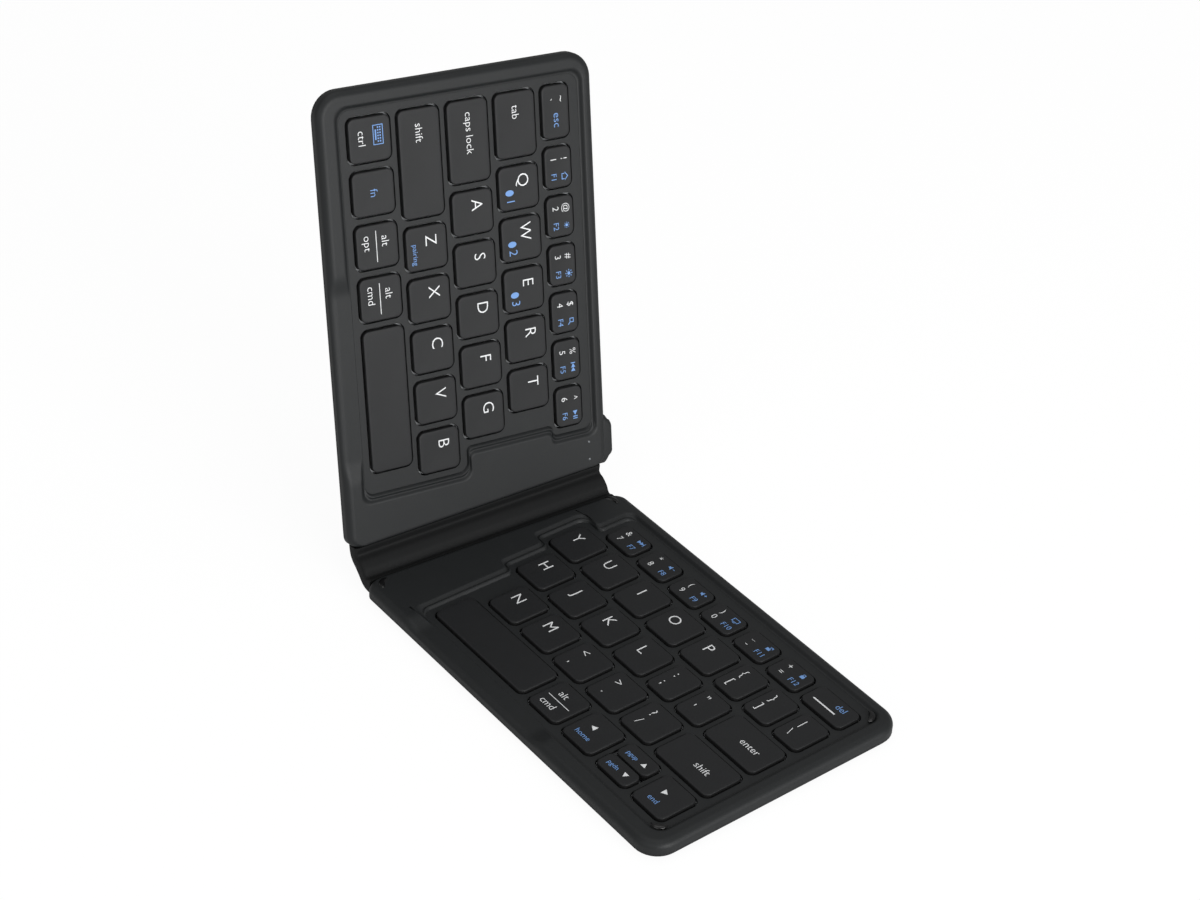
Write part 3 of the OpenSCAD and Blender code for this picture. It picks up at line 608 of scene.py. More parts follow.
@dataclass
class ShellTop:
    """Top shell of one half: rim, land, the stepped key well and the thumb scoop in its front rim."""

    side: Side
    arc_steps: int = 10
    front_steps: int = 150
    side_steps: int = 40
    back_steps: int = 60
    # Front points lie between these two places in u, at the same ones on every loop
    front_u0: float = 21.0
    front_u1: float = 134.0
    # Spacing of the points on the stepped edge, and the radii of its corners
    stair_pitch: float = 0.7
    spine_corner_r: float = 3.0
    step_r: float = 1.7
    outward_r: float = 3.2
    # A step away from the spine lies this far behind its key row, and leans back with the shift
    step_behind: float = 2.4
    step_lean: float = 0.35
    # Each step's stretch of the crease keeps this far from it
    slack: float = 0.8
    # Width and height of the rim's rounded edge, its share at the crease, and the loops that guard it
    crown: float = 2.4
    crown_h: float = 2.2
    crown_steps: int = 10
    crease_share: float = 0.12
    guards: Tuple[float, float] = (0.15, 0.3)
    guard_share: float = 0.4
    min_r: float = 1.0
    under_z: float = 4.2
    scoop_zone: float = 1.5

    def outer_loop(self, inset: float, hinge_inset: float) -> Array:
        """The half's outline, drawn in by inset, and by hinge_inset along the crease.

        Args:
            inset: distance from the front, outer side and back.
            hinge_inset: distance from the spine side.

        Returns:
            Points in the order front, outer side, back, spine side.
        """
        s = SIZES
        off = s.hinge_gap + hinge_inset
        low, high = inset, s.half_d - inset
        right = s.half_w - inset
        corners = [[s.crease_u(low, off), low], [right, low], [right, high], [s.crease_u(high, off), high]]
        outer_r = max(s.corner_r - inset, self.min_r)
        arcs = self.arcs(corners, [s.hinge_corner_r, outer_r, outer_r, s.hinge_corner_r])
        share = self.stair_share()[:, None]
        return self.closed(arcs, low, arcs[3][-1] * (1 - share) + arcs[0][0] * share)

    def arcs(self, corners: List[List[float]], radii: List[float]) -> List[Array]:
        """The arcs that round an outline's corners, in the corners' order."""
        points = np.array(corners)
        following = np.roll(points, -1, axis=0)
        return [
            round_corner(points[i], points[i - 1], following[i], radius, self.arc_steps)
            for i, radius in enumerate(radii)
        ]

    def closed(self, arcs: List[Array], front: float, spine: Array) -> Array:
        """Joins the parts of a loop.

        Args:
            arcs: the corners' arcs, of which the first four are front spine, front, back and back spine.
            front: depth of the front stretch.
            spine: the points of the spine side.

        Returns:
            Points in the order front, outer side, back, spine side.
        """
        u = np.linspace(self.front_u0, self.front_u1, self.front_steps)
        parts = [arcs[0], np.column_stack([u, np.full(self.front_steps, front)]), arcs[1]]
        for i, steps in ((1, self.side_steps), (2, self.back_steps)):
            parts += [between(arcs[i], arcs[i + 1], steps), arcs[i + 1]]
        return np.vstack([*parts, spine])

    def well_arcs(self, shift: float, inset: float) -> List[Array]:
        """The arcs at the well's corners: front spine, front, back, back spine, then each step's two.

        Args:
            shift: distance of the stepped edge towards the spine.
            inset: distance of the other edges inwards.

        Returns:
            One array of points for each corner.
        """
        s = SIZES
        edges = well_edges(self.side)
        right = s.key_end + s.deck_border - inset
        front, back = s.rim_front + inset, s.well_back - inset
        corners = [[edges[0] - shift, front], [right, front], [right, back], [edges[4] - shift, back]]
        radii = [self.spine_corner_r, s.well_r, s.well_r, self.spine_corner_r]
        for i in range(3, -1, -1):
            if math.isclose(edges[i], edges[i + 1]):
                continue
            outward = edges[i + 1] > edges[i]
            behind = s.row_v[i] + s.cap_d + 2 * s.key_gap + self.step_behind
            before = s.row_v[i + 1] - s.row_web / 2
            lean = self.step_lean * shift
            v = behind + lean if outward else before - lean
            corners += [[edges[i + 1] - shift, v], [edges[i] - shift, v]]
            radii += [self.step_r, self.outward_r if outward else self.step_r]
        return self.arcs(corners, radii)

    def stair(self, arcs: List[Array]) -> Array:
        """Points of the stepped edge, from the back corner to the front one, the same number at any shift."""
        base = self.well_arcs(0, 0)
        parts = []
        for i in range(3, len(arcs)):
            following = (i + 1) % len(arcs)
            length = float(np.linalg.norm(base[following][0] - base[i][-1]))
            parts.append(between(arcs[i], arcs[following], max(2, round(length / self.stair_pitch))))
            if following:
                parts.append(arcs[following])
        return np.vstack(parts)

    def stair_share(self) -> Array:
        """Place along the crease that faces each point of the stepped edge.

        Each step of the well gets a short stretch of the crease, kept behind a step towards the crease and in
        front of a step away from it, so that no face of the land folds over another.

        Returns:
            For each point, 0 at the back end of the crease and 1 at its front end.
        """
        s = SIZES
        arcs = self.well_arcs(0, 0)
        stair = self.stair(arcs)
        length = running_length(stair)
        back, front = s.half_d - s.hinge_corner_r, s.hinge_corner_r
        marks, depths = [0.0], [back - self.slack]
        for first, second in zip(arcs[4::2], arcs[5::2]):
            v = float(first[-1, 1] + second[0, 1]) / 2
            for end in (first[0], second[-1]):
                marks.append(float(length[np.abs(stair - end).sum(axis=1).argmin()]))
            to_crease = second[-1, 0] < first[0, 0]
            depths += [first[0, 1] + self.slack, v] if to_crease else [v, second[-1, 1] - self.slack]
        marks.append(float(length[-1]))
        depths.append(front + self.slack)
        return (back - np.interp(length, marks, depths)) / (back - front)

    def well_loop(self, shift: float, inset: float) -> Array:
        """The key well's outline with the same number of points as the outer one.

        Args:
            shift: distance of the stepped edge towards the spine.
            inset: distance of the other edges inwards.

        Returns:
            Points in the order front, outer side, back, stepped side.
        """
        arcs = self.well_arcs(shift, inset)
        return self.closed(arcs, SIZES.rim_front + inset, self.stair(arcs))

    def spine_share(self) -> Array:
        """For each point of a loop, 1 on the stepped side and 0 elsewhere, softly changing in the corners."""
        n = self.arc_steps + 1
        rise = smooth_step(np.linspace(0, 1, n))
        middle = self.front_steps + self.side_steps + self.back_steps - 2 + 2 * n
        return np.concatenate([1 - rise, np.zeros(middle), rise, np.ones(len(self.stair_share()))])

    def scoop_level(self, u: Array) -> Array:
        """Height of the front rim, lowered to the deck in the scoop by a half cosine wave at each end."""
        s = SIZES
        end = s.scoop_u0 + SCOOP_W[self.side]
        rise = np.clip((u - s.scoop_u0) / s.scoop_slope, 0, 1) * np.clip((end - u) / s.scoop_slope, 0, 1)
        return s.half_h - s.well_drop * (1 - np.cos(np.pi * rise)) / 2

    def bead(self) -> List[Tuple[float, float, float, float]]:
        """The profile from the land over a valley and a bead down to the deck, and through it.

        Returns:
            Each loop's shift towards the spine, its inset elsewhere, and its heights there and elsewhere.
        """
        top, deck = SIZES.half_h, SIZES.deck_z
        return [
            (3.15, -2.0, top, top),
            (3.0, -1.75, top, top),
            (2.75, -1.5, top - 0.03, top - 0.06),
            (2.5, -1.25, top - 0.12, top - 0.2),
            (2.25, -1.03, top - 0.28, top - 0.43),
            (2.0, -0.85, deck + 0.62, deck + 0.42),
            (1.75, -0.67, deck + 0.46, deck + 0.22),
            (1.5, -0.5, deck + 0.43, deck + 0.1),
            (1.25, -0.35, deck + 0.56, deck + 0.04),
            (1.05, -0.25, deck + 0.77, deck + 0.02),
            (0.85, -0.18, deck + 0.88, deck + 0.01),
            (0.65, -0.1, deck + 0.85, deck),
            (0.45, -0.06, deck + 0.68, deck),
            (0.28, -0.04, deck + 0.45, deck),
            (0.14, -0.03, deck + 0.22, deck),
            (0.05, -0.01, deck + 0.06, deck),
            (0.0, 0.0, deck, deck - 0.01),
            (0.0, 0.0, deck - 0.3, deck - 0.3),
            (0.0, 0.0, deck - 0.9, deck - 0.9),
        ]

    def rings(self) -> Array:
        """All loops, from the parting edge up over the rim, down into the well and back underneath."""
        s = SIZES
        share = self.spine_share()
        waist = s.half_h - self.crown_h
        loops = [lying(self.outer_loop(0, 0), s.split_z)]
        for angle in np.radians(np.linspace(0, 90, self.crown_steps)):
            inset = self.crown * (1 - math.cos(angle))
            loop = self.outer_loop(inset, self.crease_share * inset)
            loops.append(lying(loop, waist + self.crown_h * math.sin(angle)))
        for guard in self.guards:
            inset = self.crown + guard
            loops.append(lying(self.outer_loop(inset, self.guard_share * inset), s.half_h))
        outer_count = len(loops)
        for shift, inset, z_spine, z_rim in self.bead():
            loops.append(np.column_stack([self.well_loop(shift, inset), z_rim + (z_spine - z_rim) * share]))
        loops += [
            lying(self.well_loop(1.0, -1.0), s.deck_z - 0.95),
            lying(self.well_loop(1.1, -1.1), self.under_z),
            lying(self.outer_loop(2.4, 1.6), self.under_z),
            lying(self.outer_loop(2.3, 1.5), s.split_z),
        ]
        return self.scooped(np.array(loops), outer_count, waist)

    def scooped(self, stack: Array, outer_count: int, waist: float) -> Array:
        """Lowers the front rim to the scoop, by squeezing the outer loops and cutting off the others.

        Args:
            stack: all loops.
            outer_count: number of loops, from the first, that go over the rim.
            waist: height at which the rim's round edge starts.

        Returns:
            The loops with the scoop in them.
        """
        height = stack[..., 2]
        level = self.scoop_level(stack[..., 0])
        squeezed = waist + np.clip((height - waist) / self.crown_h, 0, None) * (level - waist)
        lowered = np.minimum(height, level)
        lowered[:outer_count] = squeezed[:outer_count]
        in_front = stack[..., 1] < SIZES.rim_front + self.scoop_zone
        stack[..., 2] = np.where(in_front & (height > waist), lowered, height)
        return stack

    def build(self) -> bpy.types.Object:
        """Makes the shell, which stands for the CAD cover."""
        shape = Shape()
        shape.loft(self.rings(), joined=True)
        made = shape.on_half(self.side).to_object(f"{self.side.value}_rim_shell", [Finish.SOFT_TOUCH], 50)
        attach(made, f"{self.side.value}_half")
        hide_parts(f"{self.side.value}_cover")
        return made


@dataclass(frozen=True)
class KeyPlace:
    """Place and size of one key cap in its half's frame."""

    side: Side
    u: float
    v: float
    w: float
    d: float

    def spot(self, across: float, up: float) -> Array:
        """Point on the key at a share of its width, as it is read, and of its depth."""
        u = self.u + self.w * across if self.side is Side.RIGHT else self.u + self.w * (1 - across)
        return np.array([u, self.v + self.d * up])

    def outline(self, inset: float, radius: float, steps: int) -> Array:
        """The cap's outline drawn in by inset, or out where that is negative."""
        u1, v1 = self.u + self.w - inset, self.v + self.d - inset
        return round_box(self.u + inset, self.v + inset, u1, v1, radius, steps)


def key_place(side: Side, row: int, i: int) -> KeyPlace:
    """Place of key number i of a row, counted from the outer end."""
    s = SIZES
    widths = ROWS[side][row]
    start = s.key_end - sum(widths[:i]) - (2 * s.key_gap + s.web) * i
    return KeyPlace(side, start - widths[i] - s.key_gap, s.row_v[row] + s.key_gap, widths[i], s.row_cap[row])


def arrow_place(upper: bool) -> KeyPlace:
    """Place of one of the two half-height arrow keys, which share a slot."""
    whole = key_place(Side.RIGHT, 0, 1)
    depth = (whole.d - SIZES.arrow_gap) / 2
    return KeyPlace(whole.side, whole.u, whole.v + (depth + SIZES.arrow_gap if upper else 0), whole.w, depth)


@dataclass
class KeyCaps:
    """The caps of one CAD node: hollow skirts, softened edges and a slightly dished top."""

    node: str
    places: List[KeyPlace]
    corner_steps: int = 6
    dish: float = 0.1
    min_r: float = 0.4
    # Shares of the way from the middle to the rim at which the dished top has its loops
    top_shares: Tuple[float, ...] = (0.86, 0.66, 0.44, 0.2)
    # Bands of the skirt, from the inside, that take the near-black painted shade of the gaps
    dark_bands: int = 5

    def top_height(self, place: KeyPlace, u: Array, v: Array) -> Array:
        """Height of a cap's top: the rim height less a shallow bowl, dish * (1 - x^2) * (1 - y^2)."""
        x = np.clip((u - place.u - place.w / 2) / (place.w / 2), -1, 1)
        y = np.clip((v - place.v - place.d / 2) / (place.d / 2), -1, 1)
        return SIZES.cap_top - self.dish * (1 - x**2) * (1 - y**2)

    def cap(self, place: KeyPlace, shape: Shape) -> None:
        """Adds one cap, as rings from the inside of its skirt, over the edge, to the middle of its top."""
        s = SIZES
        low = s.cap_top - s.cap_h
        profile = [
            (s.cap_wall, s.cap_top - s.cap_wall),
            (s.cap_wall, low),
            (0.05, low),
            (0.0, low + 0.1),
            (0.0, s.cap_top - 0.36),
            (0.0, s.cap_top - 0.3),
            (0.05, s.cap_top - 0.16),
            (0.14, s.cap_top - 0.06),
            (0.28, s.cap_top - 0.01),
            (0.5, s.cap_top),
        ]
        rings = []
        for inset, z in profile:
            loop = place.outline(inset, max(s.cap_r - inset, self.min_r), self.corner_steps)
            rings.append(lying(loop, z))
        rim = rings[-1][:, :2]
        middle = place.spot(0.5, 0.5)
        for share in self.top_shares:
            loop = middle + (rim - middle) * share
            rings.append(np.column_stack([loop, self.top_height(place, loop[:, 0], loop[:, 1])]))
        shape.loft(np.array(rings), dark_bands=self.dark_bands)

    def build(self) -> bpy.types.Object:
        """Makes the caps, which stand for their CAD node."""
        shape = Shape()
        for place in self.places:
            self.cap(place, shape)
        # The second finish is the near-black painted shade on the skirts and the inside of each cap
        made = shape.on_half(self.places[0].side).to_object(
            f"{self.node}_caps", [Finish.KEY_PBT, Finish.BARE_BLACK], 40
        )
        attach(made, self.node)
        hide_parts(self.node)
        return made


@dataclass
class Deck:
    """Key deck of one half: a plate with one slot for each key, its edges eased."""

    side: Side
    ease: float = 0.05
    slot_gap: float = 0.6
    slot_steps: int = 7
    # Clearance to the shell round the deck, and depth under the top at which a face counts as a slot wall and
    # takes the near-black painted shade
    shell_gap: float = 0.03
    wall_depth: float = 0.02

    def outline(self, curve: bpy.types.Curve, loop: Array) -> None:
        """Adds one closed outline to a flat curve."""
        spline = curve.splines.new("POLY")
        spline.points.add(len(loop) - 1)
        flat = np.column_stack([loop, np.zeros(len(loop)), np.ones(len(loop))])
        spline.points.foreach_set("co", flat.ravel())
        spline.use_cyclic_u = True

    def build(self) -> bpy.types.Object:
        """Makes the plate from a filled flat curve with an eased edge, and stands it for the CAD deck."""
        s = SIZES
        curve = bpy.data.curves.new("deck_outline", "CURVE")
        curve.dimensions = "2D"
        curve.fill_mode = "BOTH"
        curve.extrude = s.deck_t / 2 - self.ease
        curve.bevel_depth = self.ease
        curve.bevel_resolution = 2
        curve.offset = -self.ease
        self.outline(curve, ShellTop(self.side).well_loop(-self.shell_gap, self.shell_gap))
        for row, widths in enumerate(ROWS[self.side]):
            for i in range(len(widths)):
                place = key_place(self.side, row, i)
                self.outline(curve, place.outline(-self.slot_gap, s.cap_r + self.slot_gap, self.slot_steps))
        points, faces = curve_to_arrays(curve)
        points[:, 2] += s.deck_z - s.deck_t / 2
        # Faces under the top, the slot walls and the plate's edge, take the painted shade of the gaps
        tops = [max(points[i, 2] for i in face) for face in faces]
        shape = Shape()
        shape.add(points, faces, [0 if z > s.deck_z - self.wall_depth else 1 for z in tops])
        finishes = [Finish.SOFT_TOUCH, Finish.BARE_BLACK]
        made = shape.on_half(self.side).to_object(f"{self.side.value}_key_deck", finishes, 50)
        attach(made, f"{self.side.value}_half")
        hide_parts(f"{self.side.value}_deck")
        return made


def curve_to_arrays(curve: bpy.types.Curve) -> Tuple[Array, Faces]:
    """Turns a flat or text curve to points and faces, and deletes the curve.

    Args:
        curve: the curve's data.

    Returns:
        N by 3 points in the curve's own units, and the faces.
    """
    holder = bpy.data.objects.new("curve_holder", curve)
    bpy.context.scene.collection.objects.link(holder)
    graph = bpy.context.evaluated_depsgraph_get()
    mesh = bpy.data.meshes.new_from_object(holder.evaluated_get(graph))
    points = np.empty(len(mesh.vertices) * 3)
    mesh.vertices.foreach_get("co", points)
    faces = [list(p.vertices) for p in mesh.polygons]
    bpy.data.objects.remove(holder)
    bpy.data.meshes.remove(mesh)
    bpy.data.curves.remove(curve)
    return points.reshape(-1, 3), faces


class Ink(Enum):
    """The two printing inks of the legends."""

    WHITE = Finish.WHITE_INK
    BLUE = Finish.BLUE_INK


Outline = Tuple[Tuple[float, float], ...]


@dataclass(frozen=True)
class Mark:
    """One printed mark on a key: a text, or a flat outline, at a place given in shares of the key."""

    body: str
    across: float
    up: float
    size: float
    ink: Ink = Ink.WHITE
    outline: Optional[Outline] = None


# Text sizes in millimetres: letters, words, two signs on one key, a number key's signs and its function label
LETTER = 5.6
WORD = 3.5
PAIR = 4.3
SIGN = 3.1
LABEL = 2.7


def box_outline(x0: float, y0: float, x1: float, y1: float) -> Outline:
    """A rectangle as an outline."""
    return ((x0, y0), (x1, y0), (x1, y1), (x0, y1))


def regular(count: int, radius: float, first: float, x: float = 0.0, y: float = 0.0) -> Outline:
    """A regular polygon round x and y, its first corner at an angle in degrees."""
    angles = [math.radians(first + k * 360 / count) for k in range(count)]
    return tuple((x + radius * math.cos(a), y + radius * math.sin(a)) for a in angles)


def frame_outlines(x: float, y: float, w: float, h: float, line: float) -> List[Outline]:
    """The four strips of a frame w by h round x and y."""
    return [
        box_outline(x - w / 2, y - h / 2, x + w / 2, y - h / 2 + line),
        box_outline(x - w / 2, y + h / 2 - line, x + w / 2, y + h / 2),
        box_outline(x - w / 2, y - h / 2 + line, x - w / 2 + line, y + h / 2 - line),
        box_outline(x + w / 2 - line, y - h / 2 + line, x + w / 2, y + h / 2 - line),
    ]


def rays(inner: float, outer: float, line: float) -> List[Outline]:
    """Eight short strips that point away from the middle."""
    made: List[Outline] = []
    for k in range(8):
        c, t = math.cos(k * math.pi / 4), math.sin(k * math.pi / 4)
        strip = box_outline(inner, -line / 2, outer, line / 2)
        made.append(tuple((x * c - y * t, x * t + y * c) for x, y in strip))
    return made



SPEAKER = [box_outline(-0.95, -0.32, -0.5, 0.32), ((-0.5, -0.32), (0.1, -0.8), (0.1, 0.8), (-0.5, 0.32))]
HOUSE_WALLS = frame_outlines(0.0, -0.35, 1.7, 1.1, 0.22)
PADLOCK = box_outline(-0.65, -0.85, 0.65, 0.15)
# Flat outlines of the icons, in shares of ICON_SIZE, with y up as the key is read
ICONS: Dict[str, List[Outline]] = {
    "house": [
        ((-1.2, 0.1), (-0.9, 0.1), (0.0, 0.85), (0.0, 1.15)),
        ((0.0, 1.15), (0.0, 0.85), (0.9, 0.1), (1.2, 0.1)),
        HOUSE_WALLS[0],
        *HOUSE_WALLS[2:],
    ],
    "dim": [regular(12, 0.42, 0), *rays(0.65, 0.85, 0.2)],
    "bright": [regular(12, 0.5, 0), *rays(0.75, 1.15, 0.22)],
    "search": [
        *frame_outlines(-0.2, 0.2, 1.3, 1.3, 0.22),
        ((0.35, -0.5), (0.9, -1.05), (1.08, -0.87), (0.53, -0.32)),
    ],
    "previous": [*[regular(3, 0.8, 180, x) for x in (0.55, -0.55)], box_outline(-1.6, -0.7, -1.35, 0.7)],
    "play": [regular(3, 0.85, 0, -0.7), *[box_outline(x, -0.7, x + 0.28, 0.7) for x in (0.4, 1.0)]],
    "next": [*[regular(3, 0.8, 0, x) for x in (-0.55, 0.55)], box_outline(1.35, -0.7, 1.6, 0.7)],
    "quieter": [*SPEAKER, box_outline(0.6, -0.1, 1.3, 0.1)],
    "louder": [
        *SPEAKER,
        box_outline(0.6, -0.1, 1.4, 0.1),
        box_outline(0.9, 0.1, 1.1, 0.4),
        box_outline(0.9, -0.4, 1.1, -0.1),
    ],
    "screen": [*frame_outlines(0.0, 0.15, 2.4, 1.5, 0.2), box_outline(-0.5, -1.0, 0.5, -0.8)],
    "lock": [PADLOCK, *frame_outlines(0.0, 0.45, 0.95, 0.8, 0.2)],
    "open_lock": [PADLOCK, *frame_outlines(0.55, 0.5, 0.95, 0.9, 0.2)[1:]],
    "keyboard": [
        *frame_outlines(0.0, 0.0, 5.4, 3.0, 0.22),
        *[box_outline(0.75 * k - 2.15, y, 0.75 * k - 1.75, y + 0.4) for y in (0.45, -0.2) for k in range(6)],
        box_outline(-1.4, -0.9, 1.4, -0.5),
    ],
    "disc": [tuple((0.85 * x, 1.3 * y) for x, y in regular(24, 1.0, 0))],
    "dash": [box_outline(-4.1, -0.22, 4.1, 0.22)],
    "rule": [box_outline(-4.3, -0.1, 4.3, 0.1)],
    "left_arrow": [regular(3, 1.1, 180)],
    "right_arrow": [regular(3, 1.1, 0)],
    "up_arrow": [regular(3, 1.0, 90)],
    "down_arrow": [regular(3, 1.0, 270)],
}
ICON_SIZE = 1.12


def icon(name: str, across: float, up: float, ink: Ink = Ink.WHITE) -> List[Mark]:
    """The marks of one icon, all placed at the same point."""
    return [Mark("", across, up, ICON_SIZE, ink, outline) for outline in ICONS[name]]


def letter(text: str) -> List[Mark]:
    """A letter key's mark."""
    return [Mark(text, 0.34, 0.6, LETTER)]


def linked_letter(text: str, digit: str) -> List[Mark]:
    """A letter key that also recalls one of three paired hosts: a blue disc and a numeral."""
    return [*letter(text), *icon("disc", 0.6, 0.26, Ink.BLUE), Mark(digit, 0.8, 0.27, 4.2, Ink.BLUE)]


def pair(low: str, high: str) -> List[Mark]:
    """Marks of a key with two signs, one above the other."""
    return [Mark(low, 0.3, 0.32, PAIR), Mark(high, 0.3, 0.7, PAIR)]


def number(digit: str, sign: str, function: str, picture: str) -> List[Mark]:
    """Marks of a number key: digit, shifted sign, function label and the blue icon above it."""
    return [
        Mark(digit, 0.3, 0.32, SIGN),
        Mark(sign, 0.3, 0.72, SIGN),
        Mark(function, 0.74, 0.32, LABEL, Ink.BLUE),
        *icon(picture, 0.74, 0.73, Ink.BLUE),
    ]


def split_word(high: str, low: str) -> List[Mark]:
    """Marks of a key with two words and a rule between them."""
    return [Mark(high, 0.4, 0.69, WORD), *icon("rule", 0.5, 0.48), Mark(low, 0.4, 0.26, WORD)]


@dataclass
class Legends:
    """The printed marks of one CAD node's keys, in one ink."""

    node: str
    ink: Ink
    items: List[Tuple[KeyPlace, Mark]]
    thickness: float = 0.02
    # Letters are drawn lighter by a share of their size, less a fixed amount
    thinning: float = 0.014
    gain: float = 0.02

    def flat(self, mark: Mark) -> Tuple[Array, Faces]:
        """The mark's flat mesh round its own middle."""
        if mark.outline is not None:
            loop = np.array(mark.outline) * mark.size
            count = len(loop)
            low = lying(loop, 0.0)
            high = low + [0, 0, self.thickness]
            sides = [[k, (k + 1) % count, count + (k + 1) % count, count + k] for k in range(count)]
            top = list(range(count, 2 * count))
            return np.vstack([low, high]), [*sides, top, list(reversed(range(count)))]
        curve = bpy.data.curves.new("legend_text", "FONT")
        curve.body = mark.body
        curve.size = mark.size
        curve.align_x = "CENTER"
        curve.align_y = "CENTER"
        curve.extrude = self.thickness / 2
        curve.offset = self.gain - self.thinning * mark.size
        curve.resolution_u = 3
        return curve_to_arrays(curve)

    def build(self) -> bpy.types.Object:
        """Makes the marks and lays them on the dished key tops."""
        shape = Shape()
        caps = KeyCaps(self.node, [])
        side = self.items[0][0].side
        for place, mark in self.items:
            points, faces = self.flat(mark)
            way = 1 if side is Side.RIGHT else -1
            at = place.spot(mark.across, mark.up)
            u, v = at[0] + way * points[:, 0], at[1] + points[:, 1]
            z = caps.top_height(place, u, v) + self.thickness + points[:, 2]
            shape.add(np.column_stack([u, v, z]), [face[::way] for face in faces])
        name = f"{self.node}_{self.ink.name.lower()}_print"
        made = shape.on_half(side).to_object(name, [self.ink.value], 30)
        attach(made, self.node)
        return made


# Side, row from the front, and number from the outer end
KeySpot = Tuple[Side, int, int]
LEFT, RIGHT = Side.LEFT, Side.RIGHT
BLUE = Ink.BLUE
ESCAPE = [Mark("`", 0.27, 0.25, WORD), Mark("~", 0.27, 0.72, WORD), Mark("esc", 0.66, 0.54, 3.6, BLUE)]
HOME = [*icon("left_arrow", 0.4, 0.6), Mark("home", 0.42, 0.28, LABEL, BLUE)]
END = [*icon("right_arrow", 0.4, 0.6), Mark("end", 0.42, 0.28, LABEL, BLUE)]

KEYS: Dict[str, List[Tuple[KeySpot, List[Mark]]]] = {
    "escape_key": [((LEFT, 4, 0), ESCAPE)],
    "left_number_keys": [
        ((LEFT, 4, 1), number("1", "!", "F1", "house")),
        ((LEFT, 4, 2), number("2", "@", "F2", "dim")),
        ((LEFT, 4, 3), number("3", "#", "F3", "bright")),
        ((LEFT, 4, 4), number("4", "$", "F4", "search")),
        ((LEFT, 4, 5), number("5", "%", "F5", "previous")),
        ((LEFT, 4, 6), number("6", "^", "F6", "play")),
    ],
    "tab_key": [((LEFT, 3, 0), [Mark("tab", 0.31, 0.5, WORD)])],
    "qwert_keys": [
        ((LEFT, 3, 1), linked_letter("Q", "1")),
        ((LEFT, 3, 2), linked_letter("W", "2")),
        ((LEFT, 3, 3), linked_letter("E", "3")),
        ((LEFT, 3, 4), letter("R")),
        ((LEFT, 3, 5), letter("T")),
    ],
    "caps_lock_key": [((LEFT, 2, 0), [Mark("caps lock", 0.4, 0.52, WORD)])],
    "asdfg_keys": [((LEFT, 2, k + 1), letter(c)) for k, c in enumerate("ASDFG")],
    "left_shift_key": [((LEFT, 1, 0), [Mark("shift", 0.22, 0.48, WORD)])],
    "zxcvb_keys": [
        ((LEFT, 1, 1), [*letter("Z"), Mark("pairing", 0.62, 0.21, 2.45, BLUE)]),
        *[((LEFT, 1, k + 2), letter(c)) for k, c in enumerate("XCVB")],
    ],
    "ctrl_key": [((LEFT, 0, 0), [Mark("ctrl", 0.46, 0.3, WORD), *icon("keyboard", 0.42, 0.7, BLUE)])],
    "fn_key": [((LEFT, 0, 1), [Mark("fn", 0.5, 0.5, WORD, BLUE)])],
    "left_option_key": [((LEFT, 0, 2), split_word("alt", "opt"))],
    "left_command_key": [((LEFT, 0, 3), split_word("alt", "cmd"))],
    "left_space_key": [((LEFT, 0, 4), [])],
    "right_number_keys": [
        ((RIGHT, 4, 6), number("7", "&", "F7", "next")),
        ((RIGHT, 4, 5), number("8", "*", "F8", "quieter")),
        ((RIGHT, 4, 4), number("9", "(", "F9", "louder")),
        ((RIGHT, 4, 3), number("0", ")", "F10", "screen")),
        ((RIGHT, 4, 2), number("-", "_", "F11", "open_lock")),
        ((RIGHT, 4, 1), number("=", "+", "F12", "lock")),
    ],
    "delete_key": [((RIGHT, 4, 0), [*icon("dash", 0.42, 0.36), Mark("del", 0.66, 0.68, 3.2, BLUE)])],
    "yuiop_keys": [((RIGHT, 3, 7 - k), letter(c)) for k, c in enumerate("YUIOP")],
    "left_bracket_key": [((RIGHT, 3, 2), pair("[", "{"))],
    "right_bracket_key": [((RIGHT, 3, 1), pair("]", "}"))],
    "backslash_key": [((RIGHT, 3, 0), pair("\\", "|"))],
    "hjkl_keys": [((RIGHT, 2, 6 - k), letter(c)) for k, c in enumerate("HJKL")],
    "semicolon_key": [((RIGHT, 2, 2), pair(";", ":"))],
    "quote_key": [((RIGHT, 2, 1), pair("'", '"'))],
    "enter_key": [((RIGHT, 2, 0), [Mark("enter", 0.6, 0.5, WORD)])],
    "nm_keys": [((RIGHT, 1, 5), letter("N")), ((RIGHT, 1, 4), letter("M"))],
    "punctuation_keys": [
        ((RIGHT, 1, 3), pair(",", "<")),
        ((RIGHT, 1, 2), pair(".", ">")),
        ((RIGHT, 1, 1), pair("/", "?")),
    ],
    "right_shift_key": [((RIGHT, 1, 0), [Mark("shift", 0.6, 0.46, WORD)])],
    "right_space_key": [((RIGHT, 0, 4), [])],
    "right_command_key": [((RIGHT, 0, 3), split_word("alt", "cmd"))],
    "home_arrow_key": [((RIGHT, 0, 2), HOME)],
    "end_arrow_key": [((RIGHT, 0, 0), END)],
}
ARROWS: Dict[str, Tuple[bool, List[Mark]]] = {
    "page_up_key": (True, [*icon("up_arrow", 0.72, 0.45), Mark("pgup", 0.34, 0.45, 2.3, BLUE)]),
    "page_down_key": (False, [*icon("down_arrow", 0.72, 0.55), Mark("pgdn", 0.34, 0.5, 2.3, BLUE)]),
}


@dataclass
class KeySet:
    """Every key of the keyboard with its printed legend."""

    def build(self) -> None:
        """Makes the caps and the prints of each CAD node."""
        sets = {node: [(key_place(*where), marks) for where, marks in keys] for node, keys in KEYS.items()}
        sets.update({node: [(arrow_place(upper), marks)] for node, (upper, marks) in ARROWS.items()})
        for node, keys in sets.items():
            KeyCaps(node, [place for place, _ in keys]).build()
            for ink in Ink:
                items = [(place, mark) for place, marks in keys for mark in marks if mark.ink is ink]
                if items:
                    Legends(node, ink, items).build()
            LOG.info("%s: %d key(s)", node, len(keys))


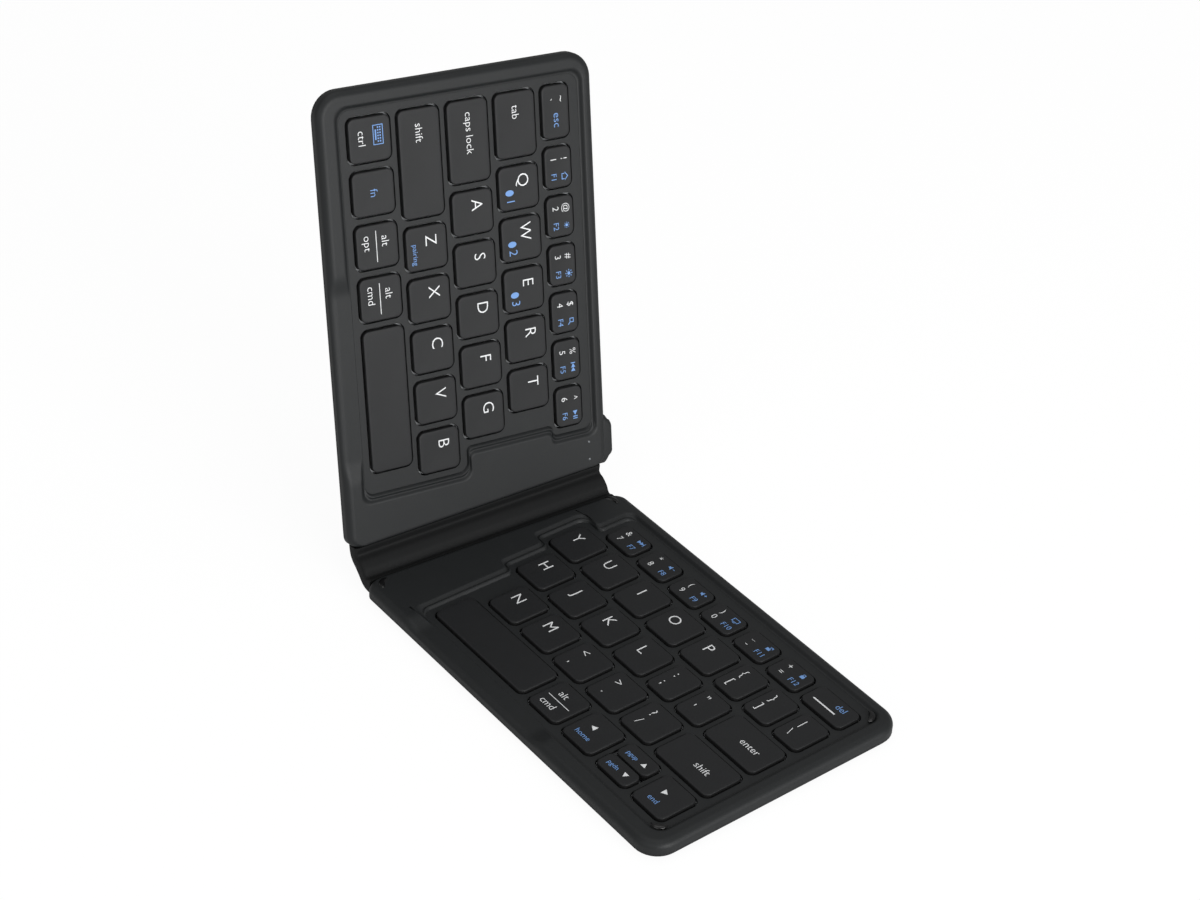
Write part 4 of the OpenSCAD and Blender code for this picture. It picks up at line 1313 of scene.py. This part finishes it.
@dataclass
class Sleeve:
    """The soft spine sleeve: a padded strap that bends at two creases, with a groove along each."""

    groove: float = 0.75
    groove_w: float = 2.1
    # Heights of its two faces over the creases' lines
    top: float = 3.46
    low: float = -2.1
    path_steps: int = 44
    length_steps: int = 40
    # Length of the rounded ends, and the share of the thickness that is left at the very end
    end_r: float = 1.1
    end_share: float = 0.55
    # Distances from the end of the rings there, and of the first ring of the even stretch
    end_places: Tuple[float, ...] = (0.0, 0.15, 0.5, 1.1)
    even_from: float = 2.0

    @property
    def near_x(self) -> float:
        """Place in x of the right half's crease."""
        return SIZES.crease[0]

    @property
    def far_x(self) -> float:
        """Place in x of the left half's crease, with the keyboard flat."""
        return self.near_x - SIZES.spine_w

    def bend(self, points: Array) -> Array:
        """Folds flat points to the drawn pose, each crease turning by a smooth step over its soft zone."""
        s = SIZES
        folded = points
        for axis in (self.far_x, self.near_x):
            share = smooth_step(np.clip((axis + s.hinge_gap - points[:, 0]) / (2 * s.hinge_gap), 0, 1))
            folded = turn_y(folded, share * s.fold, (axis, s.hinge_z))
        return folded

    def section(self, x0: float, x1: float, shrink: float) -> Array:
        """Closed flat section from x0 to x1: grooved top, plain underside.

        Args:
            x0: end nearer the right half.
            x1: end nearer the left half.
            shrink: share of the full thickness, less than 1 at the rounded ends of the strap.

        Returns:
            Points as x and height, anticlockwise.
        """
        x = np.linspace(x0, x1, self.path_steps)
        nearest = np.minimum(np.abs(x - self.near_x), np.abs(x - self.far_x))
        dip = self.groove * np.exp(-((nearest / self.groove_w) ** 2))
        middle = (self.top + self.low) / 2
        high = middle + (self.top - dip - middle) * shrink
        flat = np.full(len(x), middle + (self.low - middle) * shrink)
        return np.vstack([np.column_stack([x, high]), np.column_stack([x, flat])[::-1]])

    def part(self, name: str, x0: float, x1: float) -> bpy.types.Object:
        """Makes one stretch of the strap.

        Args:
            name: the piece's name.
            x0: end nearer the right half.
            x1: end nearer the left half.

        Returns:
            The piece, not yet joined to a body.
        """
        s = SIZES
        y0 = s.crease[1] + s.strap_inset
        y1 = s.crease[1] + s.half_d / math.cos(math.radians(s.splay)) - s.strap_inset
        ends = np.array(self.end_places)
        even = np.linspace(y0 + self.even_from, y1 - self.even_from, self.length_steps)
        along = np.concatenate([y0 + ends, even, y1 - ends[::-1]])
        depth = np.minimum(np.minimum(along - y0, y1 - along) / self.end_r, 1)
        shrink = self.end_share + (1 - self.end_share) * np.sqrt(1 - (1 - depth) ** 2)
        rings = []
        for y, share in zip(along, shrink):
            loop = self.section(x0, x1, float(share)) + [0, s.hinge_z]
            rings.append(self.bend(standing(loop, y)))
        shape = Shape()
        shape.loft(np.array(rings)[::-1] * MM)
        return shape.to_object(name, [Finish.SLEEVE_TPE], 60)

    def at(self, x: float) -> Place:
        """A point of the strap's axis line in the drawn pose, in metres."""
        point = self.bend(np.array([[x, 0.0, SIZES.hinge_z]]))[0] * MM
        return (float(point[0]), float(point[1]), float(point[2]))

    def bend_pieces(self, near: bpy.types.Object, far: bpy.types.Object) -> None:
        """Bakes each piece's transform into its mesh; the pieces are bent as they are made, and the axis
        points worked out here are not used.
        """
        gap = SIZES.hinge_gap
        self.at(self.near_x + gap)
        self.at(self.near_x - gap)
        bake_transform(near)
        self.at(self.far_x + gap)
        self.at(self.far_x - gap)
        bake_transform(far)

    def build(self) -> None:
        """Makes both stretches and bends each with its own crease."""
        gap = SIZES.hinge_gap
        middle = (self.near_x + self.far_x) / 2
        near = self.part("sleeve_right_crease", self.near_x + gap, middle)
        far = self.part("sleeve_left_crease", middle, self.far_x - gap)
        self.bend_pieces(near, far)
        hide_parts("hinge_skin")


@dataclass
class Ribbon:
    """The ribbon cable inside the sleeve, which bends with both creases."""

    sleeve: Sleeve
    depth: float = 52.0
    width: float = 10.0
    thickness: float = 0.2
    right_reach: float = 16.0
    left_reach: float = 10.0
    # Height on the right membrane, and length of the flat stretch at each end of the way down to it
    right_z: float = 1.7
    run: float = 4.0
    steps: int = 40

    def part(self, name: str, x0: float, x1: float) -> bpy.types.Object:
        """Makes one stretch from x0 to x1, lying on the right membrane, then in the creases' neutral plane.

        Args:
            name: the piece's name.
            x0: end nearer the right half.
            x1: end nearer the left half.

        Returns:
            The piece, not yet joined to a body.
        """
        s = SIZES
        x = np.linspace(x0, x1, self.steps)
        way_down = [s.hinge_gap + self.run, self.right_reach - self.run]
        z = np.interp(x - self.sleeve.near_x, way_down, [s.hinge_z, self.right_z])
        half = self.thickness / 2
        loop = np.vstack([np.column_stack([x, z + half]), np.column_stack([x, z - half])[::-1]])
        middle = s.crease[1] + self.depth
        edges = (middle + self.width / 2, middle - self.width / 2)
        shape = Shape()
        shape.loft(np.array([self.sleeve.bend(standing(loop, y)) for y in edges]) * MM)
        return shape.to_object(name, [Finish.AMBER_FILM], 60)

    def build(self) -> None:
        """Makes both stretches, which stand for the CAD's cable, and bends each with its own crease."""
        near_x, far_x = self.sleeve.near_x, self.sleeve.far_x
        middle = (near_x + far_x) / 2
        near = self.part("ribbon_right_crease", near_x + self.right_reach, middle)
        far = self.part("ribbon_left_crease", middle, far_x - self.left_reach)
        self.sleeve.bend_pieces(near, far)
        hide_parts("ribbon_cable")


@dataclass
class SocketBoss:
    """The rounded boss behind the left half that holds the charging socket, with the plug's opening."""

    corner_r: float = 1.8
    top: float = 5.3
    reach_in: float = 4.2
    flare: float = 1.4
    hole_w: float = 8.0
    hole_top: float = 4.5
    hole_lift: float = 0.1
    hole_roundness: float = 0.4
    sink: float = 2.0
    steps: int = 8

    def opening(self, scale: float) -> Array:
        """The plug's opening as a closed loop in u and z, a flat box with round ends."""
        s = SIZES
        middle = s.boss_u0 + s.boss_w / 2
        half = self.hole_w / 2 * scale
        low = s.split_z + self.hole_lift
        high = (self.hole_top - s.split_z) * scale
        radius = high * self.hole_roundness
        return round_box(middle - half, low, middle + half, low + high, radius, self.steps)

    def build(self) -> bpy.types.Object:
        """Makes the boss as rings from the shell outwards, round its opening and into it."""
        s = SIZES
        outer = round_box(s.boss_u0, s.split_z, s.boss_u0 + s.boss_w, self.top, self.corner_r, self.steps)
        centre = outer.mean(axis=0)
        back = s.half_d + s.boss_out
        # Depth of each ring, its spread across and its share of the height
        profile = (
            (s.half_d - self.reach_in, self.flare, 1.0),
            (s.half_d - 0.4, self.flare, 1.0),
            (s.half_d + 0.4, self.flare - 0.08, 1.0),
            (back - 0.9, 1.06, 1.0),
            (back - 0.3, 1.0, 0.95),
            (back, 0.93, 0.84),
        )
        rings = [standing(centre + (outer - centre) * [spread, share], v) for v, spread, share in profile]
        rings += [standing(self.opening(scale), v) for v, scale in ((back, 1.0), (back - self.sink, 0.97))]
        shape = Shape()
        shape.loft(np.array(rings)[:, ::-1])
        made = shape.on_half(Side.LEFT).to_object("socket_boss", [Finish.SOFT_TOUCH], 40)
        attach(made, "left_half")
        return made


@dataclass
class CornerPads:
    """The four crescent pads in the corners of the right half, rounded and pointed at both ends."""

    length: float = 5.6
    width: float = 1.9
    bow: float = 2.8
    rise: float = 0.45
    sink: float = 0.3
    # Distance from the well's edges of the outer two, and their height over the deck
    outer_in: float = 1.15
    outer_z: float = 0.7
    # Distance of the inner two from the crease, in front and behind, and from the front and back edges
    front_off: float = 2.6
    back_off: float = 1.8
    edge_in: float = 4.6
    # Share of the crescent's length that is left off at both ends
    tip: float = 0.02
    steps: int = 16
    around: int = 12

    def crescent(self, middle: Array, away: float, level: float) -> Shape:
        """One crescent round a corner.

        Args:
            middle: u and v of its middle.
            away: angle in degrees from the half's middle to the corner.
            level: height of the surface that it stands on.

        Returns:
            A spindle along an arc, whose half width is the square root of a sine.
        """
        facing = math.radians(away)
        centre = middle - self.bow * np.array([math.cos(facing), math.sin(facing)])
        reach = self.length / self.bow / 2
        rings = []
        for t in np.linspace(self.tip, 1 - self.tip, self.steps):
            angle = facing + (2 * t - 1) * reach
            out = np.array([math.cos(angle), math.sin(angle)])
            thin = math.sqrt(math.sin(math.pi * t))
            turn = np.linspace(0, 2 * math.pi, self.around, endpoint=False)
            across = self.width / 2 * thin * np.cos(turn)
            height = np.where(np.sin(turn) > 0, self.rise, self.sink) * thin * np.sin(turn)
            rings.append(np.column_stack([centre + (self.bow + across)[:, None] * out, level + height]))
        shape = Shape()
        shape.loft(np.array(rings))
        return shape

    def build(self) -> bpy.types.Object:
        """Makes the four pads, which stand for their CAD node."""
        s = SIZES
        near_front = float(s.crease_u(np.array(s.hinge_corner_r), s.hinge_gap)) + self.front_off
        near_back = float(s.crease_u(np.array(s.half_d), s.hinge_gap)) + self.back_off
        low, high = s.rim_front + self.outer_in, s.well_back - self.outer_in
        end = s.key_end + s.deck_border - self.outer_in
        spots = [
            ((end, low), -45.0, s.deck_z + self.outer_z),
            ((end, high), 45.0, s.deck_z + self.outer_z),
            ((near_front, self.edge_in), 225.0, s.half_h),
            ((near_back, s.half_d - self.edge_in), 110.0, s.half_h),
        ]
        shape = Shape()
        for middle, away, level in spots:
            one = self.crescent(np.array(middle), away, level)
            shape.add(np.vstack(one.points), one.faces)
        made = shape.on_half(Side.RIGHT).to_object("crescent_pads", [Finish.BLACK_PAD], 40)
        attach(made, "right_half")
        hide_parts("corner_pads")
        return made


@dataclass
class LightPipes:
    """The two indicator light pipes, seen as small lenses in the left land."""

    radius: float = 0.4
    spots: Tuple[float, float] = (13.8, 19.7)
    depth: float = 86.8
    low: float = 2.8
    steps: int = 16
    # The domed end: share of the radius and height over the land of each ring
    dome: Tuple[Tuple[float, float], ...] = ((1.0, -0.02), (0.8, 0.02), (0.4, 0.04))

    def build(self) -> bpy.types.Object:
        """Makes both pipes with a domed end, which stand for their CAD node."""
        shape = Shape()
        profile = [(1.0, self.low), *[(share, SIZES.half_h + rise) for share, rise in self.dome]]
        sweep = 360 - 360 / self.steps
        for u in self.spots:
            centre = np.array([u, self.depth])
            rings = [
                lying(arc_points(centre, share * self.radius, 0, sweep, self.steps - 1), z)
                for share, z in profile
            ]
            shape.loft(np.array(rings))
        made = shape.on_half(Side.LEFT).to_object("indicator_lenses", [Finish.LENS_ACRYLIC], 40)
        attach(made, "left_half")
        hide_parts("light_pipes")
        return made


PAIRED_FINISHES: Dict[str, Finish] = {
    "case": Finish.ERODED_ABS,
    "plate": Finish.ROLLED_STEEL,
    "screws": Finish.ROLLED_STEEL,
    "magnet": Finish.STAMPED_NICKEL,
    "membrane": Finish.PRINTED_SHEET,
    "domes": Finish.DOME_SILICONE,
    "feet": Finish.FOOT_RUBBER,
}
CAD_FINISHES: Dict[str, Finish] = {
    **{f"{side.value}_{piece}": finish for piece, finish in PAIRED_FINISHES.items() for side in Side},
    "spine_bar": Finish.ERODED_ABS,
    "controller_board": Finish.SOLDER_MASK,
    "battery": Finish.POUCH_FOIL,
    "charge_port": Finish.STAMPED_NICKEL,
    "switch_base": Finish.ERODED_ABS,
    "power_slider": Finish.KEY_PBT,
}


def dress_cad_nodes() -> None:
    """Gives each CAD node that still shows its finish."""
    for node, finish in CAD_FINISHES.items():
        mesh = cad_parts[node].data
        mesh.materials.clear()
        mesh.materials.append(finish.material())


@dataclass(frozen=True)
class Lamp:
    """One square soft lamp: its name, place and side in metres, and its power in watts."""

    name: str
    place: Place
    size: float
    power: float


@dataclass
class Studio:
    """Floor, soft lamps and the camera at the photograph's angle."""

    floor_z: float = -0.0004
    floor_reach: float = 6.0
    camera_place: Place = (0.48888, -0.35003, 0.51332)
    camera_axes: Tuple[Place, ...] = (
        (0.5415535594, -0.5109907297, 0.6675389249),
        (0.8396498285, 0.2897443549, -0.4593869548),
        (0.0413268401, 0.8092815844, 0.5859653654),
    )
    lens: float = 79.22
    lamps: Tuple[Lamp, ...] = (
        Lamp("key_softbox", (1.3, 0.15, 0.35), 0.9, 15.0),
        Lamp("fill_softbox", (0.4, -1.1, 0.8), 1.0, 3.0),
        Lamp("top_softbox", (-0.1, 0.1, 1.4), 1.2, 4.0),
    )
    lamp_target: Place = (-0.03, 0.0, 0.04)
    # Share and strength of the floor's own white as the camera sees it, and strength of the surround's light
    whitening: float = 0.9
    paper: float = 1.04
    ambient: float = 0.3

    def floor(self) -> None:
        """Lays a large pale floor."""
        shape = Shape()
        corners = np.array([[-1, -1, 0], [1, -1, 0], [1, 1, 0], [-1, 1, 0]]) * self.floor_reach
        shape.add(corners + [0, 0, self.floor_z], [[0, 1, 2, 3]])
        material = bpy.data.materials.new("pale_floor")
        material.use_nodes = True
        tree = material.node_tree
        shader = tree.nodes["Principled BSDF"]
        shader.inputs["Base Color"].default_value = linear("#f6f6f6")
        shader.inputs["Roughness"].default_value = 0.9
        shader.inputs["Specular IOR Level"].default_value = 0.1
        white = {"Strength": self.paper, "Color": (1.0, 1.0, 1.0, 1.0)}
        paper = add_node(tree, "ShaderNodeEmission", white, {})
        ray = add_node(tree, "ShaderNodeLightPath", {}, {})
        product = {"operation": "MULTIPLY", 1: self.whitening}
        share = add_node(tree, "ShaderNodeMath", product, {0: (ray, "Is Camera Ray")})
        sources = {"Fac": (share, "Value"), 1: (shader, "BSDF"), 2: (paper, "Emission")}
        mix = add_node(tree, "ShaderNodeMixShader", {}, sources)
        tree.links.new(mix.outputs["Shader"], tree.nodes["Material Output"].inputs["Surface"])
        made = shape.to_object("studio_floor", [])
        made.data.materials.append(material)

    def light(self, lamp: Lamp) -> None:
        """Adds one lamp that faces the keyboard."""
        data = bpy.data.lights.new(lamp.name, "AREA")
        data.shape = "SQUARE"
        data.size = lamp.size
        data.energy = lamp.power
        made = bpy.data.objects.new(lamp.name, data)
        bpy.context.scene.collection.objects.link(made)
        made.location = lamp.place
        made.rotation_mode = "QUATERNION"
        made.rotation_quaternion = (Vector(lamp.place) - Vector(self.lamp_target)).to_track_quat("Z", "Y")

    def world(self) -> None:
        """Sets a plain white surround that lights the scene less than the camera sees it."""
        world = bpy.data.worlds.new("studio_world")
        world.use_nodes = True
        tree = world.node_tree
        background = tree.nodes["Background"]
        ray = add_node(tree, "ShaderNodeLightPath", {}, {})
        strengths = {"To Min": self.ambient, "To Max": 1.0}
        power = add_node(tree, "ShaderNodeMapRange", strengths, {"Value": (ray, "Is Camera Ray")})
        background.inputs["Color"].default_value = (1.0, 1.0, 1.0, 1.0)
        tree.links.new(power.outputs["Result"], background.inputs["Strength"])
        bpy.context.scene.world = world

    def camera(self) -> None:
        """Sets the camera from the photograph's fitted place, turn and lens."""
        data = bpy.data.cameras.new("studio_camera")
        data.lens = self.lens
        data.sensor_width = 36.0
        data.sensor_fit = "HORIZONTAL"
        data.clip_start = 0.01
        made = bpy.data.objects.new("studio_camera", data)
        bpy.context.scene.collection.objects.link(made)
        matrix = Matrix([list(row) for row in self.camera_axes]).to_4x4()
        matrix.translation = self.camera_place
        made.matrix_world = matrix
        bpy.context.scene.camera = made

    def build(self) -> None:
        """Sets up the whole studio."""
        self.floor()
        self.world()
        for lamp in self.lamps:
            self.light(lamp)
        self.camera()
        bpy.context.scene.view_settings.view_transform = "Standard"


def main() -> None:
    """Builds the studio, both shells, the keys and the spine."""
    logging.basicConfig(level=logging.INFO, format="%(name)s: %(message)s")
    Studio().build()
    dress_cad_nodes()
    for side in Side:
        ShellTop(side).build()
        Deck(side).build()
        LOG.info("%s shell and deck", side.value)
    SocketBoss().build()
    CornerPads().build()
    LightPipes().build()
    KeySet().build()
    sleeve = Sleeve()
    sleeve.build()
    Ribbon(sleeve).build()


if __name__ == "__main__":
    main()
